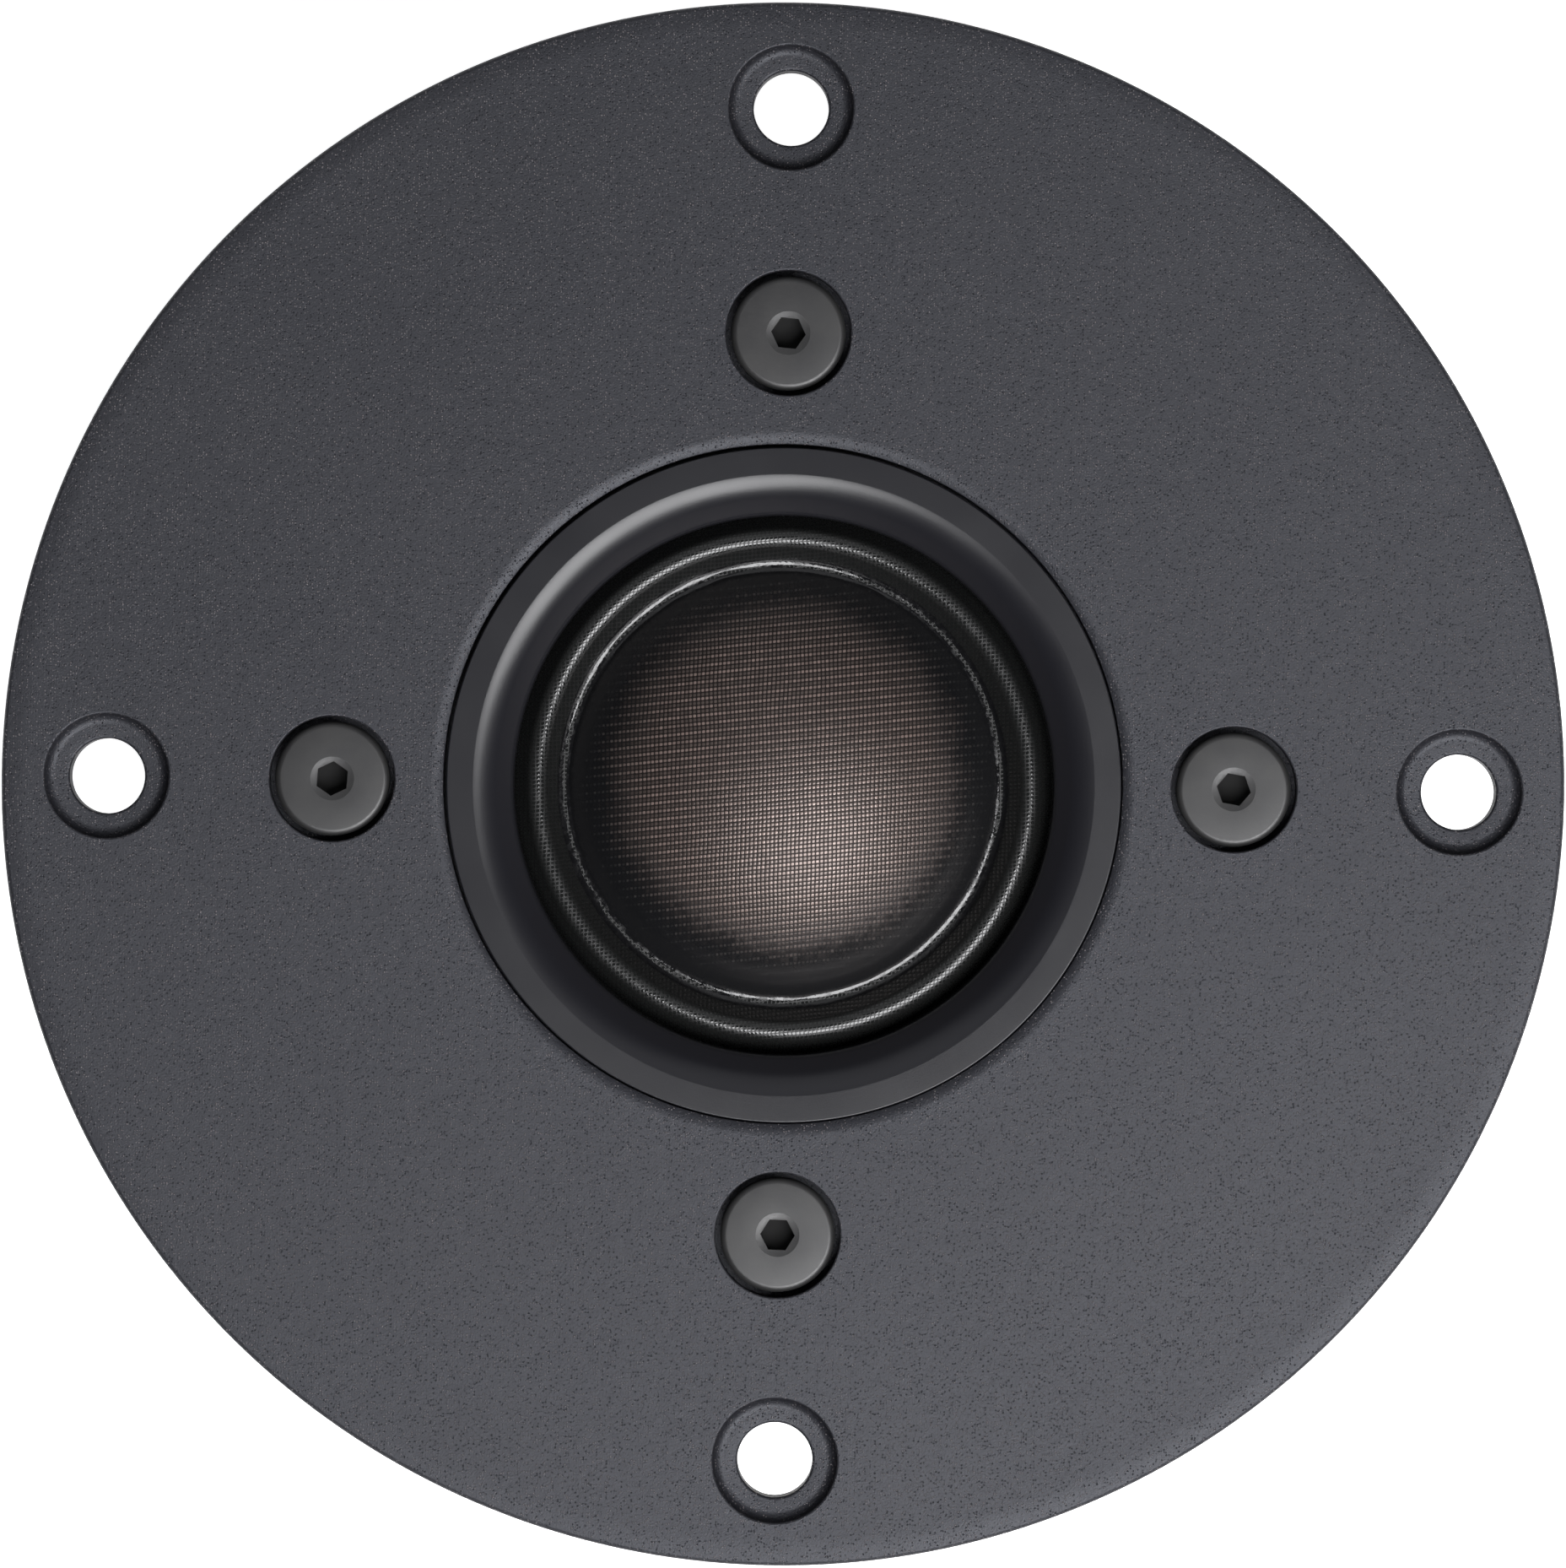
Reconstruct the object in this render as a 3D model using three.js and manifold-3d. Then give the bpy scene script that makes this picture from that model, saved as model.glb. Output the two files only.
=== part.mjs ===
// A 28 mm soft dome tweeter on a round 104 mm flange.
// Millimetres. +Z is the listening axis and +Y is up; the terminals are on the -Y side.
// The origin is the middle of the rear cup's flat back.
import * as THREE from 'three';
import { mergeVertices } from 'three/addons/utils/BufferGeometryUtils.js';
import Module from 'manifold-3d';

const wasm = await Module();
wasm.setup();

// ---- heights of the stack along Z, from the back ----
const CUP_DEPTH = 14;
const CUP_GASKET_THICKNESS = 0.5;
const BACK_PLATE_THICKNESS = 5;
const MAGNET_THICKNESS = 15;
const TOP_PLATE_THICKNESS = 5;
const CARRIER_THICKNESS = 2.15;
const CLOTH_THICKNESS = 0.3;
const CLAMP_THICKNESS = 1.55;
const OPENING_DEPTH = 2.8;
const FLANGE_THICKNESS = 4;
const FLANGE_GASKET_THICKNESS = 0.8;

const YOKE_Z = CUP_DEPTH + CUP_GASKET_THICKNESS;
const MAGNET_Z = YOKE_Z + BACK_PLATE_THICKNESS;
const TOP_PLATE_Z = MAGNET_Z + MAGNET_THICKNESS;
const SEAT_Z = TOP_PLATE_Z + TOP_PLATE_THICKNESS;
const CLOTH_Z = SEAT_Z + CARRIER_THICKNESS;
const CLOTH_TOP_Z = CLOTH_Z + CLOTH_THICKNESS;
const CLAMP_Z = CLOTH_Z + CLAMP_THICKNESS;
const FRONT_Z = CLAMP_Z + OPENING_DEPTH;
const FLANGE_Z = FRONT_Z - FLANGE_THICKNESS;

// ---- faceplate ----
const FLANGE_RADIUS = 52;
const RIM_CHAMFER = 0.5;
const BOSS_RADIUS = 38;
const OPENING_RADIUS = 22.6;
const OPENING_BREAK_WIDTH = 0.8;
const OPENING_BREAK_DEPTH = 0.2;
const RECESS_RADIUS = 25;
const MOUNT_CIRCLE_RADIUS = 45;
const MOUNT_BORE_RADIUS = 2.5;
const MOUNT_COUNTERBORE_RADIUS = 4.25;
const MOUNT_COUNTERBORE_DEPTH = 1;
const SCREW_CIRCLE_RADIUS = 30;
const SCREW_WELL_RADIUS = 4.25;
const SCREW_WELL_DEPTH = 2.4;
const SCREW_CLEARANCE_RADIUS = 2.2;

// ---- faceplate screws, one turned socket for each place, counter-clockwise from +X ----
const SCREW_HEAD_RADIUS = 3.8;
const SCREW_HEAD_HEIGHT = 2;
const SCREW_HEAD_ROUND = 0.4;
const SCREW_SHANK_RADIUS = 1.9;
const SCREW_SHANK_LENGTH = 8.4;
const SCREW_TIP_CHAMFER = 0.4;
const SCREW_TAPPED_RADIUS = 2;
const SOCKET_FLATS = 2;
const SOCKET_DEPTH = 1.3;
const SOCKET_RIM_RADIUS = 1.46;
const SOCKET_RIM_DEPTH = 0.25;
const SOCKET_TURNS_DEG = [-10, -5, 26, -2];

// ---- waveguide ring, surround and dome ----
const THROAT_RADIUS = 18;
const LAND_INNER_RADIUS = 20.72;
const LIP_ROUND = 3;
const LIP_START_DEG = 5;
const CONE_DEG = 42;
const RING_RADIUS = 22.35;
const RING_EDGE = 0.15;
const RING_STEP_BACK = 0.05;
const CLAMP_RADIUS = 24.8;
const CLOTH_RIM_RADIUS = 20.5;
const CLOTH_RIM_CLEARANCE = 0.2;
const ROLL_INNER_RADIUS = 14.7;
const ROLL_OUTER_RADIUS = 17.9;
const ROLL_CREST_ROUND = 1;
const ROLL_FLANK_DEG = 54;
const ROLL_STEPS = 3;
const SURROUND_INNER_RADIUS = 14.5;
const DOME_RADIUS = 14.45;
const DOME_HEIGHT = 6;
const DOME_BASE_Z = CLOTH_TOP_Z - CLOTH_THICKNESS / 2;
const DOME_SEAT_DROP = 0.05;
const DOME_SEAT_Z = CLOTH_Z - DOME_SEAT_DROP;
const DOME_SEAT_RADIUS = 13.85;
const DOME_STEPS = 6;

// ---- voice coil ----
const FORMER_INNER_RADIUS = 13.95;
const FORMER_OUTER_RADIUS = 14.1;
const FORMER_OVERHANG = 2;
const FORMER_Z = TOP_PLATE_Z - FORMER_OVERHANG;
const WINDING_RADIUS = 14.45;
const WINDING_LENGTH = 3.6;

// ---- motor ----
const POLE_RADIUS = 13.3;
const VENT_RADIUS = 6;
const GAP_RADIUS = 14.95;
const BACK_PLATE_RADIUS = 34;
const MAGNET_RADIUS = 36;
const MAGNET_BORE_RADIUS = 18;
const PLATE_CHAMFER = 0.5;
const COPPER_THICKNESS = 0.3;
const COPPER_LENGTH = 6;
const COPPER_HOLE_RADIUS = 8;
const FELT_INNER_RADIUS = 6.5;
const FELT_OUTER_RADIUS = 12.8;
const FELT_THICKNESS = 1.5;
const FOAM_RADIUS = 5.8;
const FOAM_LENGTH = 16;

// ---- locating pins ----
const PIN_RADIUS = 1;
const PIN_CIRCLE_RADIUS = 22.6;
const PIN_ANGLES_DEG = [45, 225];
const PIN_DEPTH_IN_PLATE = 2.8;
const PIN_DEPTH_IN_RING = 1;
const PIN_CLEARANCE = 0.1;

// ---- rear cup ----
const CUP_RADIUS = 28.5;
const CUP_WALL = 2;
const CUP_CORNER = 1.5;
const CUP_FLANGE_RADIUS = 34;
const CUP_FLANGE_THICKNESS = 2;
const CUP_FELT_THICKNESS = 4;
const CUP_FELT_RADIUS = 25.8;
const CUP_SCREW_CIRCLE_RADIUS = 31.3;
const CUP_SCREW_ANGLES_DEG = [45, 135, 225, 315];
const CUP_SCREW_HEAD_RADIUS = 2.3;
const CUP_SCREW_HEAD_HEIGHT = 1.6;
const CUP_SCREW_SHANK_RADIUS = 1.2;
const CUP_SCREW_SHANK_LENGTH = 6.5;
const CUP_SCREW_CLEARANCE_RADIUS = 1.45;
const CUP_SCREW_TAPPED_DEPTH = 4.5;

// ---- pan head screws, as shares of the head's radius or height ----
const PAN_CROWN_SHARE = 0.7;
const PAN_SIDE_SHARE = 0.4;
const CROSS_REACH_SHARE = 0.5;
const CROSS_WIDTH_SHARE = 0.13;
const CROSS_FLOOR_SHARE = 0.45;
const THREAD_CLEARANCE = 0.1;

// ---- flange gasket ----
const FLANGE_GASKET_INNER_RADIUS = 39;
const FLANGE_GASKET_OUTER_RADIUS = 50.5;
const FLANGE_GASKET_HOLE_RADIUS = 2.9;

// ---- terminals and leads ----
const BLOCK_WIDTH = 24;
const BLOCK_FACE_Y = -39.8;
const BLOCK_GAP = 0.3;
const BLOCK_BACK_RADIUS = MAGNET_RADIUS + BLOCK_GAP;
const BLOCK_BACK_Y = -30;
const BLOCK_Z = 27;
const BLOCK_TOP_Z = SEAT_Z - BLOCK_GAP;
const BLADE_Y = -38.2;
const BLADE_THICKNESS = 0.8;
const BLADE_TIP_Z = 17;
const BLADE_TOP_DROP = 0.5;
const BLADE_TOP_Z = SEAT_Z - BLADE_TOP_DROP;
const BLADE_CLEARANCE = 0.1;
const BLADES = {
  terminal_wide: { x: 4.2, width: 4.8, hole: 0.9 },
  terminal_narrow: { x: -4.2, width: 2.8, hole: 0.6 },
};
const BLADE_HOLE_Z = 20.5;
const BLADE_TIP_CHAMFER = 0.8;
const TERMINAL_SCREW_X = 9.4;
const TERMINAL_SCREW_RISE = 2.3;
const TERMINAL_SCREW_Z = TOP_PLATE_Z + TERMINAL_SCREW_RISE;
const TERMINAL_SCREW_HEAD_RADIUS = 1.9;
const TERMINAL_SCREW_HEAD_HEIGHT = 1.3;
const TERMINAL_SCREW_SHANK_RADIUS = 0.95;
const TERMINAL_SCREW_SHANK_LENGTH = 6.8;
const TERMINAL_WELL_RADIUS = 2.05;
const TERMINAL_WELL_DEPTH = 1.5;
const LEAD_RADIUS = 0.25;
const LEAD_RISE = 0.6;
const LEAD_Z = SEAT_Z + LEAD_RISE;
const LEAD_START_Y = -14.7;
const LEAD_BEND = 1;
const LEAD_END_GAP = 0.3;
const LEAD_SLOT_REACH = 0.8;
const LEAD_SLOT_HEIGHT = 1.2;

// ---- facets ----
const ROUND_SIDES = 32;
const FLANGE_SIDES = 52;
const BORE_SIDES = 16;
const SMALL_SIDES = 12;

const QUARTER = Math.PI / 2;
const radians = THREE.MathUtils.degToRad;

// ---- finishes ----
function finish(color, roughness, metalness) {
  return new THREE.MeshStandardMaterial({ color, roughness, metalness });
}

const FINISH = {
  texturedBlack: finish(0x3c3d41, 0.75, 0.1),
  satinBlack: finish(0x2c2d30, 0.4, 0),
  screwBlack: finish(0x3a3a3b, 0.5, 0.3),
  domeCloth: finish(0x2e2826, 0.6, 0),
  surroundCloth: finish(0x17181a, 0.5, 0),
  formerFilm: finish(0xb0793a, 0.5, 0),
  copper: finish(0xb8693c, 0.35, 1),
  zincSteel: finish(0x9a9c9e, 0.4, 0.9),
  ferrite: finish(0x2b2b2d, 0.7, 0.1),
  mouldedBlack: finish(0x1d1e20, 0.55, 0),
  felt: finish(0x9a9890, 0.95, 0),
  foam: finish(0x35363a, 0.95, 0),
  brass: finish(0xb89a55, 0.35, 1),
  leadCopper: finish(0xb5734a, 0.45, 0.8),
};

// ---- solids ----

// an outline of [radius, height] points turned round Z; it closes on itself unless it starts on the axis
function turned(outline, sides = ROUND_SIDES) {
  const startsOnAxis = outline[0][0] === 0;
  const path = startsOnAxis ? outline : [...outline, outline[0]];
  const points = path.map(([radius, height]) => new THREE.Vector2(radius, height));
  return new THREE.LatheGeometry(points, sides).rotateX(QUARTER);
}

// a plain ring from z low to z high, with its outer corners chamfered
function ring(inner, outer, low, high, chamfer = 0, sides = ROUND_SIDES) {
  const rightSide = chamfer
    ? [[outer - chamfer, low], [outer, low + chamfer], [outer, high - chamfer], [outer - chamfer, high]]
    : [[outer, low], [outer, high]];
  return turned([[inner, low], ...rightSide, [inner, high]], sides);
}

// a round bar along Z
function bar(radius, low, high, x = 0, y = 0, sides = SMALL_SIDES) {
  const geometry = new THREE.CylinderGeometry(radius, radius, high - low, sides).rotateX(QUARTER);
  return geometry.translate(x, y, (low + high) / 2);
}

function box(lowX, highX, lowY, highY, lowZ, highZ) {
  const geometry = new THREE.BoxGeometry(highX - lowX, highY - lowY, highZ - lowZ);
  return geometry.translate((lowX + highX) / 2, (lowY + highY) / 2, (lowZ + highZ) / 2);
}

// points of an arc in the [radius, height] plane, angles in degrees from the radius axis
function arc(radius, height, size, fromDeg, toDeg, steps) {
  return Array.from({ length: steps + 1 }, (_, i) => {
    const angle = radians(fromDeg + ((toDeg - fromDeg) * i) / steps);
    return [radius + size * Math.cos(angle), height + size * Math.sin(angle)];
  });
}

// [x, y] on a circle round the axis
function onCircle(radius, angleDeg) {
  return [radius * Math.cos(radians(angleDeg)), radius * Math.sin(radians(angleDeg))];
}

function toSolid(geometry) {
  const bare = geometry.clone();
  bare.deleteAttribute('normal');
  bare.deleteAttribute('uv');
  const merged = mergeVertices(bare);
  const triVerts = [];
  for (let i = 0; i < merged.index.count; i += 3) {
    const [a, b, c] = merged.index.array.slice(i, i + 3);
    if (a !== b && b !== c && c !== a) {
      triVerts.push(a, b, c);
    }
  }
  const vertProperties = merged.attributes.position.array;
  return new wasm.Manifold(
    new wasm.Mesh({ numProp: 3, vertProperties, triVerts: Uint32Array.from(triVerts) }),
  );
}

function toGeometry(solid) {
  const mesh = solid.getMesh();
  const geometry = new THREE.BufferGeometry();
  geometry.setAttribute('position', new THREE.BufferAttribute(mesh.vertProperties, 3));
  geometry.setIndex(new THREE.BufferAttribute(mesh.triVerts, 1));
  geometry.computeVertexNormals();
  return geometry;
}

function cut(geometry, cutters) {
  return toGeometry(cutters.reduce((solid, cutter) => solid.subtract(toSolid(cutter)), toSolid(geometry)));
}

// ---- faceplate and its screws ----

const QUARTER_TURNS_DEG = [0, 90, 180, 270];

// the two channels along Y that the coil's leads lie in, between y near and y far
function leadSlots(nearY, farY) {
  return Object.values(BLADES).map(({ x }) =>
    box(x - LEAD_SLOT_REACH, x + LEAD_SLOT_REACH, farY, nearY, SEAT_Z - 1, SEAT_Z + LEAD_SLOT_HEIGHT),
  );
}

function faceplate() {
  const plate = turned(
    [
      [RECESS_RADIUS, SEAT_Z],
      [BOSS_RADIUS, SEAT_Z],
      [BOSS_RADIUS, FLANGE_Z],
      [FLANGE_RADIUS - RIM_CHAMFER, FLANGE_Z],
      [FLANGE_RADIUS, FLANGE_Z + RIM_CHAMFER],
      [FLANGE_RADIUS, FRONT_Z - RIM_CHAMFER],
      [FLANGE_RADIUS - RIM_CHAMFER, FRONT_Z],
      [OPENING_RADIUS + OPENING_BREAK_WIDTH, FRONT_Z],
      [OPENING_RADIUS, FRONT_Z - OPENING_BREAK_DEPTH],
      [OPENING_RADIUS, CLAMP_Z],
      [RECESS_RADIUS, CLAMP_Z],
    ],
    FLANGE_SIDES,
  );
  const holes = QUARTER_TURNS_DEG.flatMap((angle) => {
    const mount = onCircle(MOUNT_CIRCLE_RADIUS, angle);
    const screw = onCircle(SCREW_CIRCLE_RADIUS, angle);
    const counterboreZ = FRONT_Z - MOUNT_COUNTERBORE_DEPTH;
    return [
      bar(MOUNT_BORE_RADIUS, FLANGE_Z - 1, FRONT_Z + 1, ...mount, BORE_SIDES),
      bar(MOUNT_COUNTERBORE_RADIUS, counterboreZ, FRONT_Z + 1, ...mount, BORE_SIDES),
      bar(SCREW_CLEARANCE_RADIUS, SEAT_Z - 1, FRONT_Z, ...screw),
      bar(SCREW_WELL_RADIUS, FRONT_Z - SCREW_WELL_DEPTH, FRONT_Z + 1, ...screw, BORE_SIDES),
    ];
  });
  return cut(plate, [...holes, ...leadSlots(-RECESS_RADIUS + 1, -BOSS_RADIUS - 1)]);
}

// a hex socket screw, head up, with its head's seat at z = 0
function socketScrew(turnDeg) {
  const headRound = arc(
    SCREW_HEAD_RADIUS - SCREW_HEAD_ROUND,
    SCREW_HEAD_HEIGHT - SCREW_HEAD_ROUND,
    SCREW_HEAD_ROUND,
    0,
    90,
    3,
  );
  const body = turned(
    [
      [0, -SCREW_SHANK_LENGTH],
      [SCREW_SHANK_RADIUS - SCREW_TIP_CHAMFER, -SCREW_SHANK_LENGTH],
      [SCREW_SHANK_RADIUS, SCREW_TIP_CHAMFER - SCREW_SHANK_LENGTH],
      [SCREW_SHANK_RADIUS, 0],
      [SCREW_HEAD_RADIUS, 0],
      ...headRound,
      [SOCKET_RIM_RADIUS, SCREW_HEAD_HEIGHT],
      [0, SCREW_HEAD_HEIGHT - SOCKET_RIM_DEPTH],
    ],
    BORE_SIDES,
  );
  const corner = SOCKET_FLATS / Math.sqrt(3);
  const socket = bar(corner, SCREW_HEAD_HEIGHT - SOCKET_DEPTH, SCREW_HEAD_HEIGHT + 1, 0, 0, 6);
  return cut(body, [socket.rotateZ(radians(turnDeg - 30))]);
}

// ---- diaphragm and what holds it ----

function pinHoles(low, high) {
  return PIN_ANGLES_DEG.map((angle) =>
    bar(PIN_RADIUS + PIN_CLEARANCE, low, high, ...onCircle(PIN_CIRCLE_RADIUS, angle)),
  );
}

// a clamp ring whose flat land breaks into a rounded lip, then a cone down to the straight throat
function waveguideRing() {
  const frontZ = FRONT_Z - RING_STEP_BACK;
  const lip = arc(
    LAND_INNER_RADIUS + LIP_ROUND * Math.sin(radians(LIP_START_DEG)),
    frontZ - LIP_ROUND * Math.cos(radians(LIP_START_DEG)),
    LIP_ROUND,
    90 + LIP_START_DEG,
    90 + CONE_DEG,
    3,
  );
  const [coneRadius, coneZ] = lip.at(-1);
  const coneDepth = (coneRadius - THROAT_RADIUS) * Math.tan(radians(CONE_DEG));
  const rabbetRadius = CLOTH_RIM_RADIUS + CLOTH_RIM_CLEARANCE;
  const body = turned([
    [THROAT_RADIUS, CLOTH_TOP_Z],
    [rabbetRadius, CLOTH_TOP_Z],
    [rabbetRadius, CLOTH_Z],
    [CLAMP_RADIUS, CLOTH_Z],
    [CLAMP_RADIUS, CLAMP_Z],
    [RING_RADIUS, CLAMP_Z],
    [RING_RADIUS, frontZ - RING_EDGE],
    [RING_RADIUS - RING_EDGE, frontZ],
    ...lip,
    [THROAT_RADIUS, coneZ - coneDepth],
  ]);
  return cut(body, pinHoles(CLOTH_Z - 1, CLOTH_Z + PIN_DEPTH_IN_RING + PIN_CLEARANCE));
}

function carrierRing() {
  const body = ring(THROAT_RADIUS, CLAMP_RADIUS, SEAT_Z, CLOTH_Z);
  return cut(body, [
    ...pinHoles(SEAT_Z - 1, CLOTH_Z + 1),
    ...leadSlots(-THROAT_RADIUS + 2, -CLAMP_RADIUS - 1),
  ]);
}

// the roll with a rounded crest and straight flanks, between a flat tongue at the dome
// and a flat rim that is glued to the carrier ring
function surround() {
  const halfWidth = (ROLL_OUTER_RADIUS - ROLL_INNER_RADIUS) / 2;
  const middle = ROLL_INNER_RADIUS + halfWidth;
  const flank = radians(ROLL_FLANK_DEG);
  const flankRise = (halfWidth - ROLL_CREST_ROUND * Math.sin(flank)) * Math.tan(flank);
  const crestZ = CLOTH_TOP_Z + flankRise - ROLL_CREST_ROUND * Math.cos(flank);
  const inside = ROLL_CREST_ROUND - CLOTH_THICKNESS;
  const insideRise = crestZ + inside * Math.cos(flank) - CLOTH_Z;
  const insideReach = inside * Math.sin(flank) + insideRise / Math.tan(flank);
  return turned([
    [SURROUND_INNER_RADIUS, CLOTH_Z],
    [middle - insideReach, CLOTH_Z],
    ...arc(middle, crestZ, inside, 90 + ROLL_FLANK_DEG, 90 - ROLL_FLANK_DEG, ROLL_STEPS),
    [middle + insideReach, CLOTH_Z],
    [CLOTH_RIM_RADIUS, CLOTH_Z],
    [CLOTH_RIM_RADIUS, CLOTH_TOP_Z],
    [ROLL_OUTER_RADIUS, CLOTH_TOP_Z],
    ...arc(middle, crestZ, ROLL_CREST_ROUND, 90 - ROLL_FLANK_DEG, 90 + ROLL_FLANK_DEG, ROLL_STEPS),
    [ROLL_INNER_RADIUS, CLOTH_TOP_Z],
    [SURROUND_INNER_RADIUS, CLOTH_TOP_Z],
  ]);
}

// a spherical cap of cloth with a flat seat under its edge for the voice coil former
function dome() {
  const size = (DOME_RADIUS ** 2 + DOME_HEIGHT ** 2) / (2 * DOME_HEIGHT);
  const centreZ = DOME_BASE_Z + DOME_HEIGHT - size;
  const outerEdgeDeg = THREE.MathUtils.radToDeg(Math.acos(DOME_RADIUS / size));
  const inner = size - CLOTH_THICKNESS;
  const innerEdgeDeg = THREE.MathUtils.radToDeg(Math.acos(DOME_SEAT_RADIUS / inner));
  const under = arc(0, centreZ, inner, 90, innerEdgeDeg, DOME_STEPS);
  const over = arc(0, centreZ, size, outerEdgeDeg, 90, DOME_STEPS);
  return turned([
    [0, centreZ + inner],
    ...under.slice(1),
    [DOME_SEAT_RADIUS, DOME_SEAT_Z],
    [DOME_RADIUS, DOME_SEAT_Z],
    ...over.slice(0, -1),
    [0, centreZ + size],
  ]);
}

function coilFormer() {
  return ring(FORMER_INNER_RADIUS, FORMER_OUTER_RADIUS, FORMER_Z, DOME_SEAT_Z);
}

function coilWinding() {
  const middle = TOP_PLATE_Z + TOP_PLATE_THICKNESS / 2;
  const half = WINDING_LENGTH / 2;
  return ring(FORMER_OUTER_RADIUS, WINDING_RADIUS, middle - half, middle + half);
}

// ---- motor ----

function topPlate() {
  const body = ring(GAP_RADIUS, MAGNET_RADIUS, TOP_PLATE_Z, SEAT_Z, PLATE_CHAMFER);
  const screwHoles = QUARTER_TURNS_DEG.map((angle) =>
    bar(SCREW_TAPPED_RADIUS, TOP_PLATE_Z - 1, SEAT_Z + 1, ...onCircle(SCREW_CIRCLE_RADIUS, angle)),
  );
  const tapped = TERMINAL_SCREW_SHANK_RADIUS + THREAD_CLEARANCE;
  const tappedLength = TERMINAL_SCREW_SHANK_LENGTH + THREAD_CLEARANCE;
  const terminalHoles = [-1, 1].map((side) =>
    alongY(bar(tapped, 0, tappedLength), side * TERMINAL_SCREW_X),
  );
  return cut(body, [
    ...screwHoles,
    ...pinHoles(SEAT_Z - PIN_DEPTH_IN_PLATE - PIN_CLEARANCE, SEAT_Z + 1),
    ...terminalHoles,
  ]);
}

function yoke() {
  const body = turned([
    [VENT_RADIUS, YOKE_Z],
    [BACK_PLATE_RADIUS - PLATE_CHAMFER, YOKE_Z],
    [BACK_PLATE_RADIUS, YOKE_Z + PLATE_CHAMFER],
    [BACK_PLATE_RADIUS, MAGNET_Z - PLATE_CHAMFER],
    [BACK_PLATE_RADIUS - PLATE_CHAMFER, MAGNET_Z],
    [POLE_RADIUS, MAGNET_Z],
    [POLE_RADIUS, SEAT_Z],
    [VENT_RADIUS, SEAT_Z],
  ]);
  const tapped = CUP_SCREW_SHANK_RADIUS + THREAD_CLEARANCE;
  return cut(body, cupScrewHoles(tapped, YOKE_Z - 1, YOKE_Z + CUP_SCREW_TAPPED_DEPTH));
}

function copperCap() {
  const outer = POLE_RADIUS + COPPER_THICKNESS;
  return turned([
    [POLE_RADIUS, SEAT_Z - COPPER_LENGTH],
    [outer, SEAT_Z - COPPER_LENGTH],
    [outer, SEAT_Z + COPPER_THICKNESS],
    [COPPER_HOLE_RADIUS, SEAT_Z + COPPER_THICKNESS],
    [COPPER_HOLE_RADIUS, SEAT_Z],
    [POLE_RADIUS, SEAT_Z],
  ]);
}

// ---- rear cup ----

function cupScrewHoles(radius, low, high) {
  return CUP_SCREW_ANGLES_DEG.map((angle) =>
    bar(radius, low, high, ...onCircle(CUP_SCREW_CIRCLE_RADIUS, angle)),
  );
}

function rearCup() {
  const inner = CUP_RADIUS - CUP_WALL;
  const flangeZ = CUP_DEPTH - CUP_FLANGE_THICKNESS;
  const body = turned([
    [0, 0],
    ...arc(CUP_RADIUS - CUP_CORNER, CUP_CORNER, CUP_CORNER, -90, 0, 3),
    [CUP_RADIUS, flangeZ],
    [CUP_FLANGE_RADIUS, flangeZ],
    [CUP_FLANGE_RADIUS, CUP_DEPTH],
    [inner, CUP_DEPTH],
    [inner, CUP_WALL],
    [0, CUP_WALL],
  ]);
  return cut(body, cupScrewHoles(CUP_SCREW_CLEARANCE_RADIUS, flangeZ - 1, CUP_DEPTH + 1));
}

function cupGasket() {
  const body = ring(CUP_RADIUS - CUP_WALL, CUP_FLANGE_RADIUS, CUP_DEPTH, YOKE_Z);
  return cut(body, cupScrewHoles(CUP_SCREW_CLEARANCE_RADIUS, CUP_DEPTH - 1, YOKE_Z + 1));
}

// a pan head screw with a cross recess; its head's seat is at z = 0 and its shank points up
function panScrew(headRadius, headHeight, shankRadius, shankLength) {
  const body = turned(
    [
      [0, -headHeight],
      [headRadius * PAN_CROWN_SHARE, -headHeight],
      [headRadius, -headHeight * PAN_SIDE_SHARE],
      [headRadius, 0],
      [shankRadius, 0],
      [shankRadius, shankLength],
      [0, shankLength],
    ],
    SMALL_SIDES,
  );
  const half = headRadius * CROSS_REACH_SHARE;
  const slot = headRadius * CROSS_WIDTH_SHARE;
  const floorZ = -headHeight * CROSS_FLOOR_SHARE;
  return cut(body, [
    box(-half, half, -slot, slot, -headHeight - 1, floorZ),
    box(-slot, slot, -half, half, -headHeight - 1, floorZ),
  ]);
}

// ---- flange gasket, terminals and leads ----

function flangeGasket() {
  const low = FLANGE_Z - FLANGE_GASKET_THICKNESS;
  const body = ring(
    FLANGE_GASKET_INNER_RADIUS, FLANGE_GASKET_OUTER_RADIUS, low, FLANGE_Z, 0, FLANGE_SIDES,
  );
  const holes = QUARTER_TURNS_DEG.map((angle) =>
    bar(FLANGE_GASKET_HOLE_RADIUS, low - 1, FLANGE_Z + 1, ...onCircle(MOUNT_CIRCLE_RADIUS, angle)),
  );
  return cut(body, holes);
}

// turns a piece made along +Z from z = 0 so that it runs along +Y from the terminal screws' seat
function alongY(geometry, x) {
  const seatY = BLOCK_FACE_Y + TERMINAL_WELL_DEPTH;
  return geometry.rotateX(-QUARTER).translate(x, seatY, TERMINAL_SCREW_Z);
}

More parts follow.
